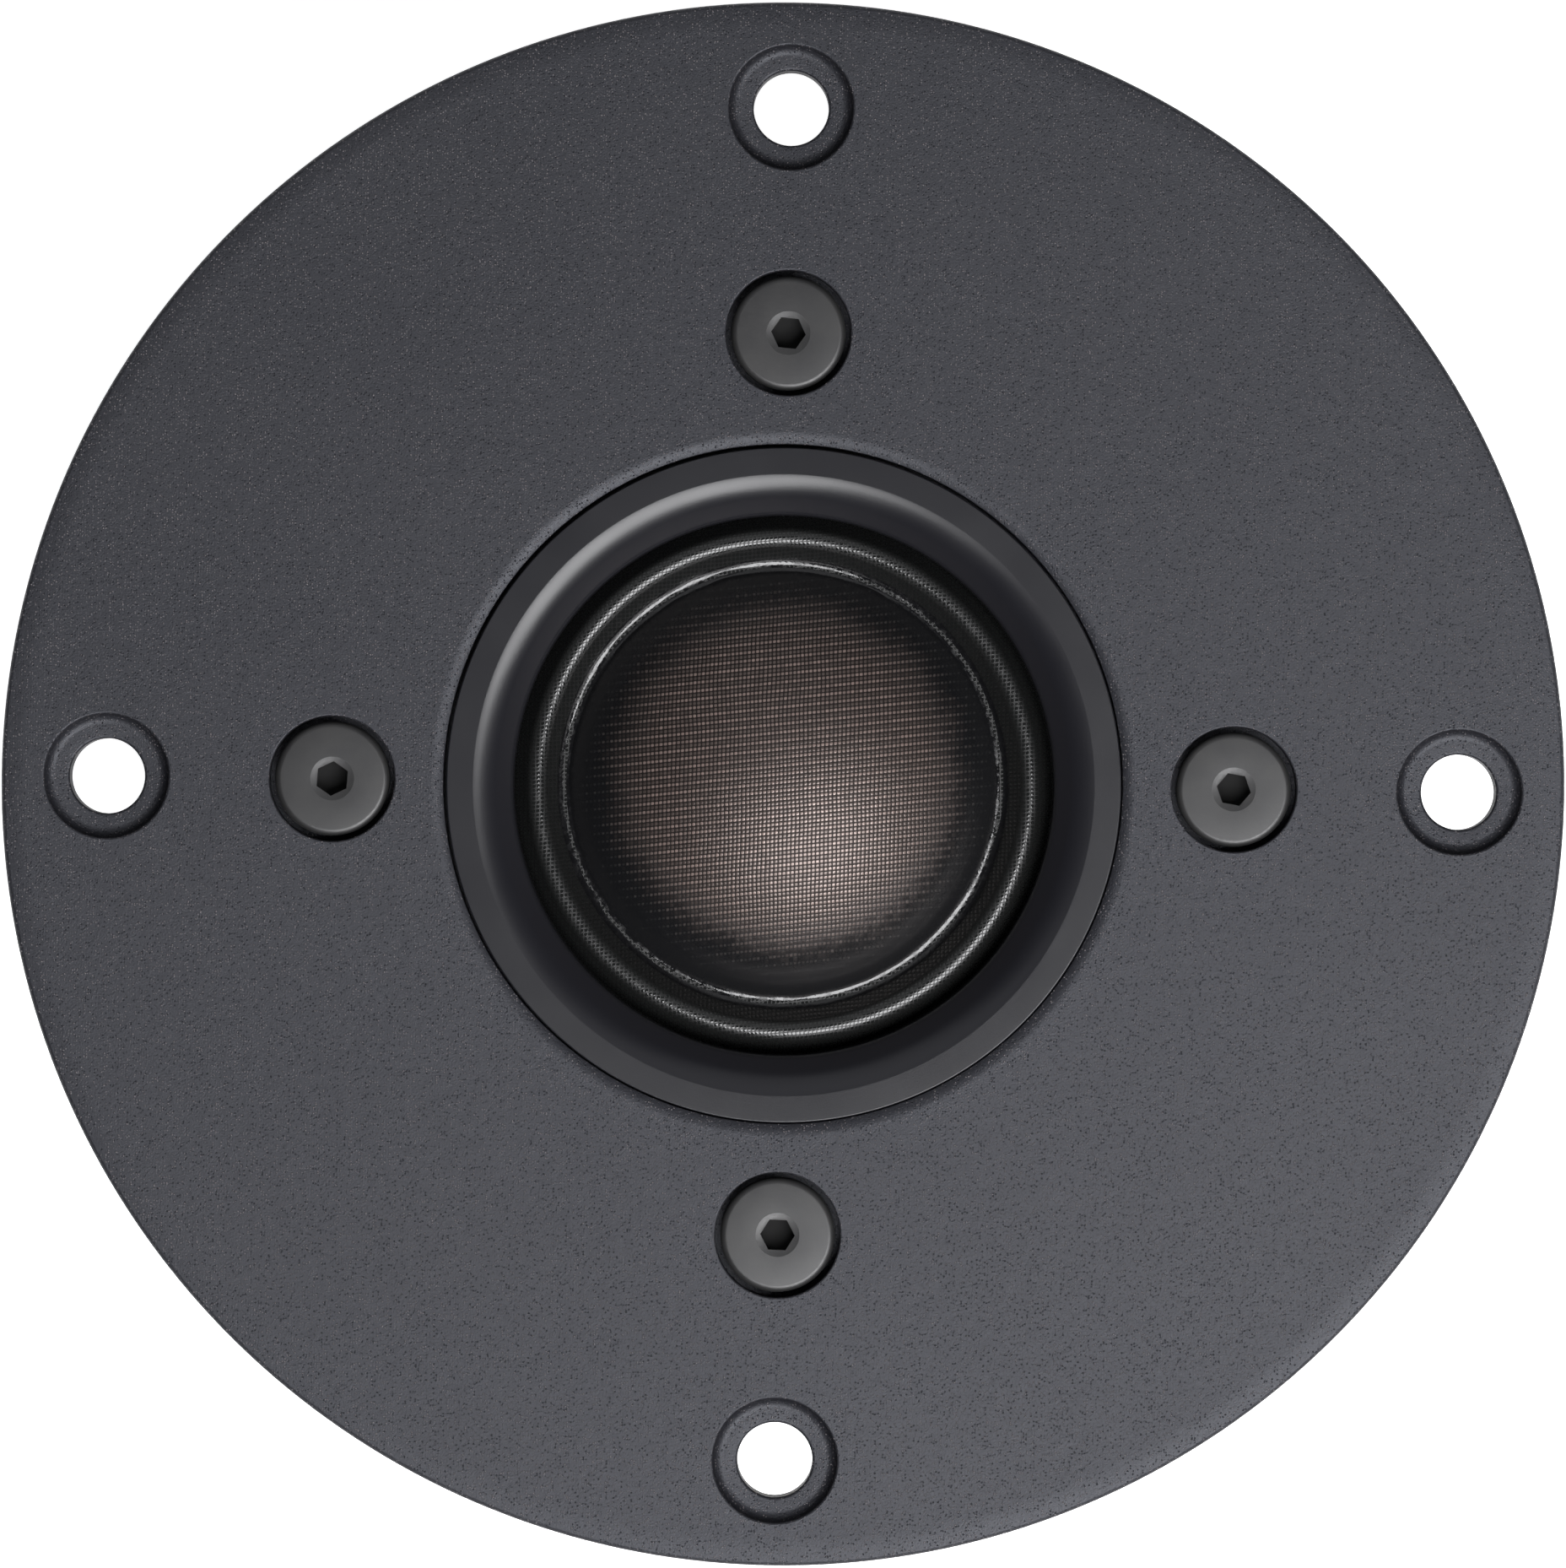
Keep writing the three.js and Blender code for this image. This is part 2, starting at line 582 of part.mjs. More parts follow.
function terminalBlock() {
  const half = BLOCK_WIDTH / 2;
  const low = BLOCK_Z - 1;
  const high = BLOCK_TOP_Z + 1;
  const body = box(-half, half, BLOCK_FACE_Y, BLOCK_BACK_Y, BLOCK_Z, BLOCK_TOP_Z);
  const halfSlot = BLADE_THICKNESS / 2 + BLADE_CLEARANCE;
  const slots = Object.values(BLADES).map(({ x, width }) => {
    const reach = width / 2 + BLADE_CLEARANCE;
    return box(x - reach, x + reach, BLADE_Y - halfSlot, BLADE_Y + halfSlot, low, high);
  });
  const clearance = TERMINAL_SCREW_SHANK_RADIUS + THREAD_CLEARANCE;
  const screwHoles = [-1, 1].flatMap((side) => [
    alongY(bar(clearance, -1, TERMINAL_SCREW_SHANK_LENGTH), side * TERMINAL_SCREW_X),
    alongY(bar(TERMINAL_WELL_RADIUS, -TERMINAL_WELL_DEPTH - 1, 0), side * TERMINAL_SCREW_X),
  ]);
  const motor = bar(BLOCK_BACK_RADIUS, low, high, 0, 0, ROUND_SIDES);
  return cut(body, [motor, ...slots, ...screwHoles]);
}

// a blade terminal with a chamfered tip and a wire hole, pointing to the rear
function blade({ x, width, hole }) {
  const half = width / 2;
  const shape = new THREE.Shape([
    new THREE.Vector2(-half, BLADE_TOP_Z),
    new THREE.Vector2(-half, BLADE_TIP_Z + BLADE_TIP_CHAMFER),
    new THREE.Vector2(BLADE_TIP_CHAMFER - half, BLADE_TIP_Z),
    new THREE.Vector2(half - BLADE_TIP_CHAMFER, BLADE_TIP_Z),
    new THREE.Vector2(half, BLADE_TIP_Z + BLADE_TIP_CHAMFER),
    new THREE.Vector2(half, BLADE_TOP_Z),
  ]);
  const eye = new THREE.Path();
  eye.absarc(0, BLADE_HOLE_Z, hole, 0, 2 * Math.PI, true);
  shape.holes.push(eye);
  const options = { depth: BLADE_THICKNESS, bevelEnabled: false, curveSegments: SMALL_SIDES };
  const flat = new THREE.ExtrudeGeometry(shape, options);
  return flat.rotateX(QUARTER).translate(x, BLADE_Y + BLADE_THICKNESS / 2, 0);
}

// a lead that runs out along -Y over the top plate and bends down to the head of its terminal
function lead(x) {
  const path = new THREE.CurvePath();
  const bendY = BLADE_Y + LEAD_BEND;
  const bendStart = new THREE.Vector3(x, bendY, LEAD_Z);
  path.add(new THREE.LineCurve3(new THREE.Vector3(x, LEAD_START_Y, LEAD_Z), bendStart));
  path.add(
    new THREE.QuadraticBezierCurve3(
      bendStart,
      new THREE.Vector3(x, BLADE_Y, LEAD_Z),
      new THREE.Vector3(x, BLADE_Y, BLADE_TOP_Z + LEAD_END_GAP),
    ),
  );
  const section = new THREE.Shape(
    Array.from({ length: 8 }, (_, i) => new THREE.Vector2(...onCircle(LEAD_RADIUS, i * 45))),
  );
  return new THREE.ExtrudeGeometry(section, { steps: 14, extrudePath: path, bevelEnabled: false });
}

// ---- assembly ----

const tweeter = new THREE.Group();
const motor = new THREE.Group();
const diaphragm = new THREE.Group();
tweeter.add(motor, diaphragm);

function add(parent, name, geometry, material) {
  const mesh = new THREE.Mesh(geometry, material);
  mesh.name = name;
  parent.add(mesh);
  return mesh;
}

add(motor, 'faceplate', faceplate(), FINISH.texturedBlack);
QUARTER_TURNS_DEG.forEach((angle, i) => {
  const screw = add(motor, `faceplate_screw_${i + 1}`, socketScrew(SOCKET_TURNS_DEG[i]), FINISH.screwBlack);
  screw.position.set(...onCircle(SCREW_CIRCLE_RADIUS, angle), FRONT_Z - SCREW_WELL_DEPTH);
});
add(motor, 'waveguide_ring', waveguideRing(), FINISH.satinBlack);
add(motor, 'carrier_ring', carrierRing(), FINISH.mouldedBlack);
add(motor, 'surround', surround(), FINISH.surroundCloth);
add(motor, 'top_plate', topPlate(), FINISH.zincSteel);
add(
  motor,
  'magnet',
  ring(MAGNET_BORE_RADIUS, MAGNET_RADIUS, MAGNET_Z, TOP_PLATE_Z, PLATE_CHAMFER),
  FINISH.ferrite,
);
add(motor, 'yoke', yoke(), FINISH.zincSteel);
add(motor, 'copper_cap', copperCap(), FINISH.copper);
const feltZ = SEAT_Z + COPPER_THICKNESS;
const poleFelt = ring(FELT_INNER_RADIUS, FELT_OUTER_RADIUS, feltZ, feltZ + FELT_THICKNESS);
add(motor, 'pole_felt', poleFelt, FINISH.felt);
add(motor, 'vent_foam', bar(FOAM_RADIUS, SEAT_Z - FOAM_LENGTH, SEAT_Z, 0, 0, BORE_SIDES), FINISH.foam);
PIN_ANGLES_DEG.forEach((angle, i) => {
  const pin = bar(PIN_RADIUS, -PIN_DEPTH_IN_PLATE, CARRIER_THICKNESS + PIN_DEPTH_IN_RING);
  const mesh = add(motor, `locating_pin_${i + 1}`, pin, FINISH.zincSteel);
  mesh.position.set(...onCircle(PIN_CIRCLE_RADIUS, angle), SEAT_Z);
});

add(motor, 'rear_cup', rearCup(), FINISH.mouldedBlack);
add(motor, 'cup_gasket', cupGasket(), FINISH.foam);
add(
  motor,
  'cup_felt',
  bar(CUP_FELT_RADIUS, CUP_WALL, CUP_WALL + CUP_FELT_THICKNESS, 0, 0, ROUND_SIDES),
  FINISH.felt,
);
CUP_SCREW_ANGLES_DEG.forEach((angle, i) => {
  const geometry = panScrew(
    CUP_SCREW_HEAD_RADIUS,
    CUP_SCREW_HEAD_HEIGHT,
    CUP_SCREW_SHANK_RADIUS,
    CUP_SCREW_SHANK_LENGTH,
  );
  const screw = add(motor, `cup_screw_${i + 1}`, geometry, FINISH.zincSteel);
  screw.position.set(...onCircle(CUP_SCREW_CIRCLE_RADIUS, angle), CUP_DEPTH - CUP_FLANGE_THICKNESS);
});

add(motor, 'flange_gasket', flangeGasket(), FINISH.foam);
add(motor, 'terminal_block', terminalBlock(), FINISH.mouldedBlack);
[-1, 1].forEach((side, i) => {
  const geometry = panScrew(
    TERMINAL_SCREW_HEAD_RADIUS,
    TERMINAL_SCREW_HEAD_HEIGHT,
    TERMINAL_SCREW_SHANK_RADIUS,
    TERMINAL_SCREW_SHANK_LENGTH,
  );
  add(motor, `terminal_screw_${i + 1}`, alongY(geometry, side * TERMINAL_SCREW_X), FINISH.zincSteel);
});
for (const [name, size] of Object.entries(BLADES)) {
  add(motor, name, blade(size), FINISH.brass);
}
add(motor, 'lead_positive', lead(BLADES.terminal_wide.x), FINISH.leadCopper);
add(motor, 'lead_negative', lead(BLADES.terminal_narrow.x), FINISH.leadCopper);

add(diaphragm, 'dome', dome(), FINISH.domeCloth);
add(diaphragm, 'coil_former', coilFormer(), FINISH.formerFilm);
add(diaphragm, 'coil_winding', coilWinding(), FINISH.copper);

export default tweeter;
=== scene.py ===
"""The looks of a 28 mm soft dome tweeter on a round 104 mm flange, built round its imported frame.

Lengths in this script are millimetres unless a name says otherwise, and MM turns them into metres.
The listening axis is +Z, so round pieces are outlines of (radius, height) turned round Z.
"""
import math
import random

import bmesh
import bpy
from mathutils import Matrix, Vector
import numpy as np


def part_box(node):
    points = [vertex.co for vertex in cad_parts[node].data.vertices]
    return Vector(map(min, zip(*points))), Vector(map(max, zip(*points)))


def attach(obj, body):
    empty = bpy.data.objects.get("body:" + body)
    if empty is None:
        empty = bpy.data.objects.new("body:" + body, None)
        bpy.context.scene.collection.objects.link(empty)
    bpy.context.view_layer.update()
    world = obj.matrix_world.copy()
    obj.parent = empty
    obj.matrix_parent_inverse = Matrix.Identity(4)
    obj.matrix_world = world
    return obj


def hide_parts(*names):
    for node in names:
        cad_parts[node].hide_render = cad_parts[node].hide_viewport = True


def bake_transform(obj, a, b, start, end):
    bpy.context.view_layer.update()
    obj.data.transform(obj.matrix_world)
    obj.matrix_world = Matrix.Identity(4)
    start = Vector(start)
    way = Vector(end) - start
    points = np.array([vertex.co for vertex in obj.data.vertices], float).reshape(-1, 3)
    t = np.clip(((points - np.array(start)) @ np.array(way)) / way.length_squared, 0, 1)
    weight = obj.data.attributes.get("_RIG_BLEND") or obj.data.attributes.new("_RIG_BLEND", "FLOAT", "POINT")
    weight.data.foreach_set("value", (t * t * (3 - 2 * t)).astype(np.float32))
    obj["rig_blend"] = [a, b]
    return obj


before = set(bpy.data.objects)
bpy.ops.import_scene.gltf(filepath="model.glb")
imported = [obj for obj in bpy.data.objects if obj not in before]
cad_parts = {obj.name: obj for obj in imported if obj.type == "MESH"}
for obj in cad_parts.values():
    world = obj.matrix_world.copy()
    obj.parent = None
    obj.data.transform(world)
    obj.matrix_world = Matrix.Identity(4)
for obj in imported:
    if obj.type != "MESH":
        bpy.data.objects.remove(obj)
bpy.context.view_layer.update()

MM = 0.001


# ---------------------------------------------------------------- places taken from the frame

def low_z(node):
    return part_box(node)[0].z / MM


def high_z(node):
    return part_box(node)[1].z / MM


def radius_of(node):
    low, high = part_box(node)
    return (high.x - low.x) / 2 / MM


def box_mm(node):
    low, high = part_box(node)
    return low / MM, high / MM


def middle_of(node):
    low, high = box_mm(node)
    return (low + high) / 2


SEAT_Z = low_z("faceplate")
FRONT_Z = high_z("faceplate")
FLANGE_Z = high_z("flange_gasket")
GASKET_Z = low_z("flange_gasket")
FLANGE_RADIUS = radius_of("faceplate")
TOP_PLATE_Z = low_z("top_plate")
MAGNET_Z = low_z("magnet")
YOKE_Z = low_z("yoke")
CUP_TOP_Z = high_z("rear_cup")
CLOTH_Z = low_z("surround")
RING_TOP_Z = high_z("waveguide_ring")
CLAMP_RADIUS = radius_of("waveguide_ring")
DOME_TOP_Z = high_z("dome")
DOME_RADIUS = radius_of("dome")
MAGNET_RADIUS = radius_of("magnet")

# ---------------------------------------------------------------- driving sizes

# plate, screws and holes
BOSS_RADIUS = 38
RECESS_RADIUS = 25
OPENING_RADIUS = 22.6
CROWN_WIDTH = 1.3
CROWN_FILLET = 12
LEAD_SLOT_SPACING = 4.2
LEAD_SLOT_WIDTH = 1.6
LEAD_SLOT_DEPTH = 1.2
MOUNT_CIRCLE_RADIUS = 45
MOUNT_BORE_RADIUS = 2.5
COUNTERBORE_RADIUS = 4.25
COUNTERBORE_DEPTH = 1
SCREW_CIRCLE_RADIUS = 30
SCREW_BORE_RADIUS = 2.2
WELL_DEPTH = 2.4
HEAD_RADIUS = 3.8
HEAD_HEIGHT = 2
THREAD_RADIUS = 1.9
THREAD_LENGTH = 8.4
SOCKET_FLATS = 2
SOCKET_RIM_RADIUS = 1.46
SOCKET_RIM_DEPTH = 0.25
SOCKET_DEPTH = 1.3
SOCKET_TURNS_DEG = (-10, -5, 26, -2)
QUARTER_TURNS_DEG = (0, 90, 180, 270)

# ring, roll and dome
CLOTH_THICKNESS = 0.3
CLOTH_TOP_Z = CLOTH_Z + CLOTH_THICKNESS
CLAMP_Z = CLOTH_Z + 1.55
CLOTH_RIM_RADIUS = 20.5
CLOTH_TONGUE_RADIUS = 14.5
CLOTH_SEAT_RADIUS = 20.7
RING_RADIUS = 22.45
RING_SHIFT = (0.05, -0.08)
THROAT_RADIUS = 18
LAND_INNER_RADIUS = 20.72
LIP_ROUND = 3.2
LIP_START_DEG = 8
CONE_DEG = 42
ROLL_INNER_RADIUS = 14.9
ROLL_OUTER_RADIUS = 18
ROLL_CREST_ROUND = 0.85
ROLL_FLANK_DEG = 54
DOME_SKIRT = 0.15
DOME_BORE_RADIUS = 13.85
GLUE_RADIUS = 14.53
GLUE_HOLLOW_ROUND = 0.7
GLUE_HOLLOW_RISE = 0.68
GLUE_SWELL_HEIGHT = 0.018
GLUE_SWELL_WIDTH = 0.02

# motor, cup and gaskets
MAGNET_BORE_RADIUS = 18
TOP_PLATE_BORE_RADIUS = 14.95
POLE_RADIUS = 13.3
VENT_RADIUS = 6
CUP_SCREW_CIRCLE_RADIUS = 31.3
CUP_SCREW_CLEARANCE_RADIUS = 1.45
CUP_SCREW_THREAD_RADIUS = 1.3
CUP_SCREW_ANGLES_DEG = (45, 135, 225, 315)
CUP_FLANGE_THICKNESS = 2
CUP_WALL_RADIUS = 28.5
CUP_BORE_RADIUS = 26.5
CUP_FLOOR = 2
CUP_GROOVE_RADIUS = 24
FLANGE_GASKET_BORE_RADIUS = 39
GASKET_HOLE_RADIUS = 2.9

# terminals and leads
BLOCK_BACK_Y = -30
BLOCK_SEAT_RADIUS = 36.3
BLADE_SLOT_CLEARANCE = 0.1
SCREW_WELL_RADIUS = 2.05
SCREW_WELL_DEPTH = 1.5
SCREW_HOLE_RADIUS = 1.05
SCREW_HOLE_DEPTH = 8
RECESS_MARGIN = 1.4
BLADE_REACH = 1.8
BLADE_CHAMFER = 0.8
BLADE_EDGE_ROUND = 0.12
BLADE_HOLE_Z = 20.5
BLADE_HOLE_RADII = {"terminal_wide": 0.9, "terminal_narrow": 0.6}
LEAD_RADIUS = 0.25
LEAD_SIDES = 20
LEAD_STRANDS = 5

# cloth
WEAVE_PITCH = 0.275
ROW_SLANT_DEG = 6.5
# middle of the dome's brown disc, which is thin coat and partly painted reflection
BROWN_DISC_MIDDLE = (0.2, 0.5, 0)

# studio and camera
FLOOR_GAP = 0.05
FLOOR_RADIUS = 2650
WALL_ROUND = 350
CAMERA_DISTANCE = 750
FRAME_WIDTH = 104.25
PHOTO_ROLL_DEG = 0.7

# turned pieces
ON_AXIS_RADIUS = 1e-6
FINE_SIDES = 288
ROUND_SIDES = 192
HOLE_SIDES = 72


# ---------------------------------------------------------------- outlines

def arc(radius, height, size, start_deg, end_deg, steps):
    """Points of an arc in the (radius, height) plane, angles from the radius axis."""
    points = []
    for i in range(steps + 1):
        angle = math.radians(start_deg + (end_deg - start_deg) * i / steps)
        points.append((radius + size * math.cos(angle), height + size * math.sin(angle)))
    return points


def filleted(corners):
    """An outline from (radius, height) or (radius, height, fillet) corners."""
    points = []
    for i, corner in enumerate(corners):
        here = Vector(corner[:2])
        if len(corner) == 2:
            points.append(tuple(here))
            continue
        back = (Vector(corners[i - 1][:2]) - here).normalized()
        ahead = (Vector(corners[(i + 1) % len(corners)][:2]) - here).normalized()
        half = back.angle(ahead) / 2
        centre = here + (back + ahead).normalized() * (corner[2] / math.sin(half))
        reach = corner[2] / math.tan(half)
        start = (here + back * reach - centre).normalized()
        end = (here + ahead * reach - centre).normalized()
        steps = min(20, 4 + round(8 * corner[2]))
        for step in range(steps + 1):
            points.append(tuple(centre + start.slerp(end, step / steps) * corner[2]))
    return points


def flared(radius, floor_z, flare, floor_fillet=0.0):
    """The outline of a cutter that leaves a hole with a rounded lip at the plate's front."""
    lip = arc(radius + flare, FRONT_Z - flare, flare, 180, 97, 6)
    floor = (radius, floor_z, floor_fillet) if floor_fillet else (radius, floor_z)
    top = FRONT_Z + 1
    return [floor, *lip, (lip[-1][0], top), (0, top)]


# ---------------------------------------------------------------- meshes

def new_object(name, bm, material=None, sharp_deg=40):
    """A mesh object in metres from a bmesh in millimetres."""
    bmesh.ops.recalc_face_normals(bm, faces=bm.faces)
    mesh = bpy.data.meshes.new(name)
    bm.to_mesh(mesh)
    bm.free()
    mesh.transform(Matrix.Scale(MM, 4))
    for polygon in mesh.polygons:
        polygon.use_smooth = True
    mesh.set_sharp_from_angle(angle=math.radians(sharp_deg))
    obj = bpy.data.objects.new(name, mesh)
    bpy.context.scene.collection.objects.link(obj)
    if material:
        mesh.materials.append(material)
    return obj


def turned_bmesh(outline, sides, start_deg=0.0):
    """A closed solid from an outline. An outline that starts and ends at radius 0 closes on the axis."""
    bm = bmesh.new()
    rings = []
    for radius, height in outline:
        if radius < ON_AXIS_RADIUS:
            rings.append([bm.verts.new((0, 0, height))] * sides)
            continue
        ring = []
        for i in range(sides):
            angle = math.radians(start_deg) + 2 * math.pi * i / sides
            ring.append(bm.verts.new((radius * math.cos(angle), radius * math.sin(angle), height)))
        rings.append(ring)
    on_axis = outline[0][0] < ON_AXIS_RADIUS
    pairs = list(zip(rings, rings[1:])) + ([] if on_axis else [(rings[-1], rings[0])])
    for near, far in pairs:
        for i in range(sides):
            j = (i + 1) % sides
            corners = [near[i], near[j], far[j], far[i]]
            distinct = list(dict.fromkeys(corners))
            if len(distinct) > 2:
                bm.faces.new(distinct)
    return bm


def turned(name, outline, material, sides=ROUND_SIDES):
    return new_object(name, turned_bmesh(outline, sides), material)


def shift(obj, x, y):
    obj.data.transform(Matrix.Translation((x * MM, y * MM, 0)))


def cutter(outline, at=(0, 0), sides=HOLE_SIDES, start_deg=0.0):
    """A turned solid to cut with, its axis parallel to Z."""
    obj = new_object("cutter", turned_bmesh(outline, sides, start_deg))
    shift(obj, *at)
    return obj


def round_edges(bm, radius):
    bmesh.ops.bevel(
        bm, geom=list(bm.edges), offset=radius, segments=3, profile=0.5, affect="EDGES", clamp_overlap=True,
    )


def box_object(name, low, high, material=None, bevel=0.0):
    bm = bmesh.new()
    bmesh.ops.create_cube(bm, size=1)
    for vert in bm.verts:
        for axis in range(3):
            vert.co[axis] = low[axis] if vert.co[axis] < 0 else high[axis]
    if bevel:
        round_edges(bm, bevel)
    return new_object(name, bm, material)


def settle(obj):
    """Applies the object's modifiers and leaves one plain mesh."""
    bpy.context.view_layer.update()
    evaluated = obj.evaluated_get(bpy.context.evaluated_depsgraph_get())
    old = obj.data
    obj.modifiers.clear()
    obj.data = bpy.data.meshes.new_from_object(evaluated)
    obj.data.name = obj.name
    if old.users == 0:
        bpy.data.meshes.remove(old)
    return obj


def cut(obj, cutters, sharp_deg=40):
    """Takes every cutter away from the object, then deletes the cutters."""
    for tool in cutters:
        difference = obj.modifiers.new("cut", "BOOLEAN")
        difference.operation = "DIFFERENCE"
        difference.solver = "EXACT"
        difference.object = tool
    bpy.context.view_layer.update()
    evaluated = obj.evaluated_get(bpy.context.evaluated_depsgraph_get())
    mesh = bpy.data.meshes.new_from_object(evaluated)
    obj.modifiers.clear()
    obj.data = mesh
    mesh.name = obj.name
    for tool in cutters:
        bpy.data.objects.remove(tool)
    for polygon in mesh.polygons:
        polygon.use_smooth = True
    mesh.set_sharp_from_angle(angle=math.radians(sharp_deg))
    return obj


def even_shading(obj):
    """Weights the corner normals by face area, so flat faces stay flat beside their fillets."""
    weighted = obj.modifiers.new("normals", "WEIGHTED_NORMAL")
    weighted.keep_sharp = True
    weighted.weight = 100
    return settle(obj)


def on_circle(radius, angle_deg):
    return radius * math.cos(math.radians(angle_deg)), radius * math.sin(math.radians(angle_deg))


def place(obj, body, slot, *nodes):
    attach(obj, body)
    if nodes:
        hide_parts(*nodes)
    return obj


# ---------------------------------------------------------------- material helpers

def new_material(name, color, roughness, metallic=0.0, specular=0.5):
    material = bpy.data.materials.new(name)
    material.use_nodes = True
    tree = material.node_tree
    shader = tree.nodes["Principled BSDF"]
    shader.inputs["Base Color"].default_value = (*color, 1)
    shader.inputs["Roughness"].default_value = roughness
    shader.inputs["Metallic"].default_value = metallic
    shader.inputs["Specular IOR Level"].default_value = specular
    return material, tree, shader


def feed(tree, socket, value):
    if isinstance(value, bpy.types.NodeSocket):
        tree.links.new(value, socket)
    else:
        socket.default_value = value


def math_node(tree, operation, a, b=0.0):
    node = tree.nodes.new("ShaderNodeMath")
    node.operation = operation
    feed(tree, node.inputs[0], a)
    feed(tree, node.inputs[1], b)
    return node.outputs[0]


def plus_share(tree, value, other, share):
    """The value plus a share of the other one."""
    return math_node(tree, "ADD", value, math_node(tree, "MULTIPLY", other, share))


def place_node(tree):
    """Object coordinates in millimetres."""
    coordinates = tree.nodes.new("ShaderNodeTexCoord")
    scale = tree.nodes.new("ShaderNodeVectorMath")
    scale.operation = "SCALE"
    scale.inputs["Scale"].default_value = 1 / MM
    tree.links.new(coordinates.outputs["Object"], scale.inputs[0])
    return scale.outputs[0]


def noise(tree, where, size, detail=2.0, rough=0.5, stretch=None):
    """Noise whose features are about size millimetres across."""
    node = tree.nodes.new("ShaderNodeTexNoise")
    node.inputs["Scale"].default_value = 1 / size
    node.inputs["Detail"].default_value = detail
    node.inputs["Roughness"].default_value = rough
    if stretch:
        mapping = tree.nodes.new("ShaderNodeMapping")
        mapping.inputs["Scale"].default_value = stretch
        tree.links.new(where, mapping.inputs["Vector"])
        where = mapping.outputs[0]
    tree.links.new(where, node.inputs["Vector"])
    return node.outputs["Fac"]


def remap(tree, value, low, high, to_low, to_high, smooth=False):
    node = tree.nodes.new("ShaderNodeMapRange")
    node.interpolation_type = "SMOOTHSTEP" if smooth else "LINEAR"
    tree.links.new(value, node.inputs["Value"])
    node.inputs["From Min"].default_value = low
    node.inputs["From Max"].default_value = high
    feed(tree, node.inputs["To Min"], to_low)
    feed(tree, node.inputs["To Max"], to_high)
    return node.outputs["Result"]


def mix_color(tree, share, first, second):
    node = tree.nodes.new("ShaderNodeMix")
    node.data_type = "RGBA"
    feed(tree, node.inputs["Factor"], share)
    for socket, color in zip((node.inputs[6], node.inputs[7]), (first, second)):
        feed(tree, socket, color if isinstance(color, bpy.types.NodeSocket) else (*color, 1))
    return node.outputs[2]


def bump(tree, shader, height, depth):
    """Relief on the surface, depth millimetres high where height goes from 0 to 1."""
    node = tree.nodes.new("ShaderNodeBump")
    node.inputs["Strength"].default_value = 1
    node.inputs["Distance"].default_value = depth * MM
    tree.links.new(height, node.inputs["Height"])
    tree.links.new(node.outputs["Normal"], shader.inputs["Normal"])


def radius_node(tree, where):
    """Distance from the listening axis in millimetres."""
    flat = tree.nodes.new("ShaderNodeVectorMath")
    flat.operation = "MULTIPLY"
    tree.links.new(where, flat.inputs[0])
    flat.inputs[1].default_value = (1, 1, 0)
    length = tree.nodes.new("ShaderNodeVectorMath")
    length.operation = "LENGTH"
    tree.links.new(flat.outputs[0], length.inputs[0])
    return length.outputs["Value"]


# ---------------------------------------------------------------- materials

def powder_coat():
    """Fine textured black powder coat, with small raised specks whose pale colour is a painted glint, and
    small pits.
    """
    material, tree, shader = new_material("textured_black", (0.012, 0.012, 0.015), 0.5, specular=0.45)
    where = place_node(tree)
    grain = noise(tree, where, 0.11, detail=2, rough=0.6)
    lumps = noise(tree, where, 0.8, detail=2)
    cloud = noise(tree, where, 14, detail=3)
    cells = tree.nodes.new("ShaderNodeTexVoronoi")
    cells.inputs["Scale"].default_value = 1 / 0.17
    tree.links.new(where, cells.inputs["Vector"])
    choice = tree.nodes.new("ShaderNodeSeparateColor")
    tree.links.new(cells.outputs["Color"], choice.inputs[0])
    dot = remap(tree, cells.outputs["Distance"], 0.12, 0.42, 1, 0, smooth=True)
    # raised specks, their pale colour a painted glint
    grains_and_painted_glints = math_node(tree, "MULTIPLY", dot, remap(tree, choice.outputs["Red"], 0.4, 1, 0, 1))
    pits = math_node(tree, "MULTIPLY", dot, remap(tree, choice.outputs["Red"], 0.45, 0.15, 0, 1))
    sandy = remap(tree, grain, 0.3, 0.7, 0, 1)
    base = mix_color(tree, sandy, (0.004, 0.004, 0.0056), (0.0125, 0.0126, 0.016))
    clouded = mix_color(tree, remap(tree, cloud, 0.3, 0.7, 0, 0.35), base, (0.013, 0.013, 0.0155))
    # painted glints: the specks' pale colour
    tree.links.new(mix_color(tree, grains_and_painted_glints, clouded, (0.125, 0.113, 0.115)), shader.inputs["Base Color"])
    rough = remap(tree, grain, 0.3, 0.7, 0.46, 0.56)
    rough = plus_share(tree, rough, pits, 0.45)
    tree.links.new(rough, shader.inputs["Roughness"])
    height = plus_share(tree, math_node(tree, "MULTIPLY", grain, 0.6), lumps, 0.5)
    height = math_node(tree, "ADD", height, math_node(tree, "SUBTRACT", grains_and_painted_glints, pits))
    bump(tree, shader, height, 0.03)
    shader.inputs["Specular Tint"].default_value = (0.9, 0.925, 1, 1)
    return material


def satin_plastic():
    """Smooth satin black moulding with a faint turned pattern."""
    material, tree, shader = new_material("satin_black", (0.0092, 0.0092, 0.0115), 0.31, specular=0.38)
    where = place_node(tree)
    radius = radius_node(tree, where)
    rings = tree.nodes.new("ShaderNodeTexNoise")
    rings.noise_dimensions = "1D"
    rings.inputs["Scale"].default_value = 6
    rings.inputs["Detail"].default_value = 3
    tree.links.new(radius, rings.inputs["W"])
    fine = noise(tree, where, 0.12, detail=1)
    smear = noise(tree, where, 5, detail=4)
    tree.links.new(remap(tree, smear, 0.3, 0.7, 0.29, 0.33), shader.inputs["Roughness"])
    bump(tree, shader, plus_share(tree, fine, rings.outputs["Fac"], 0.3), 0.003)
    return material


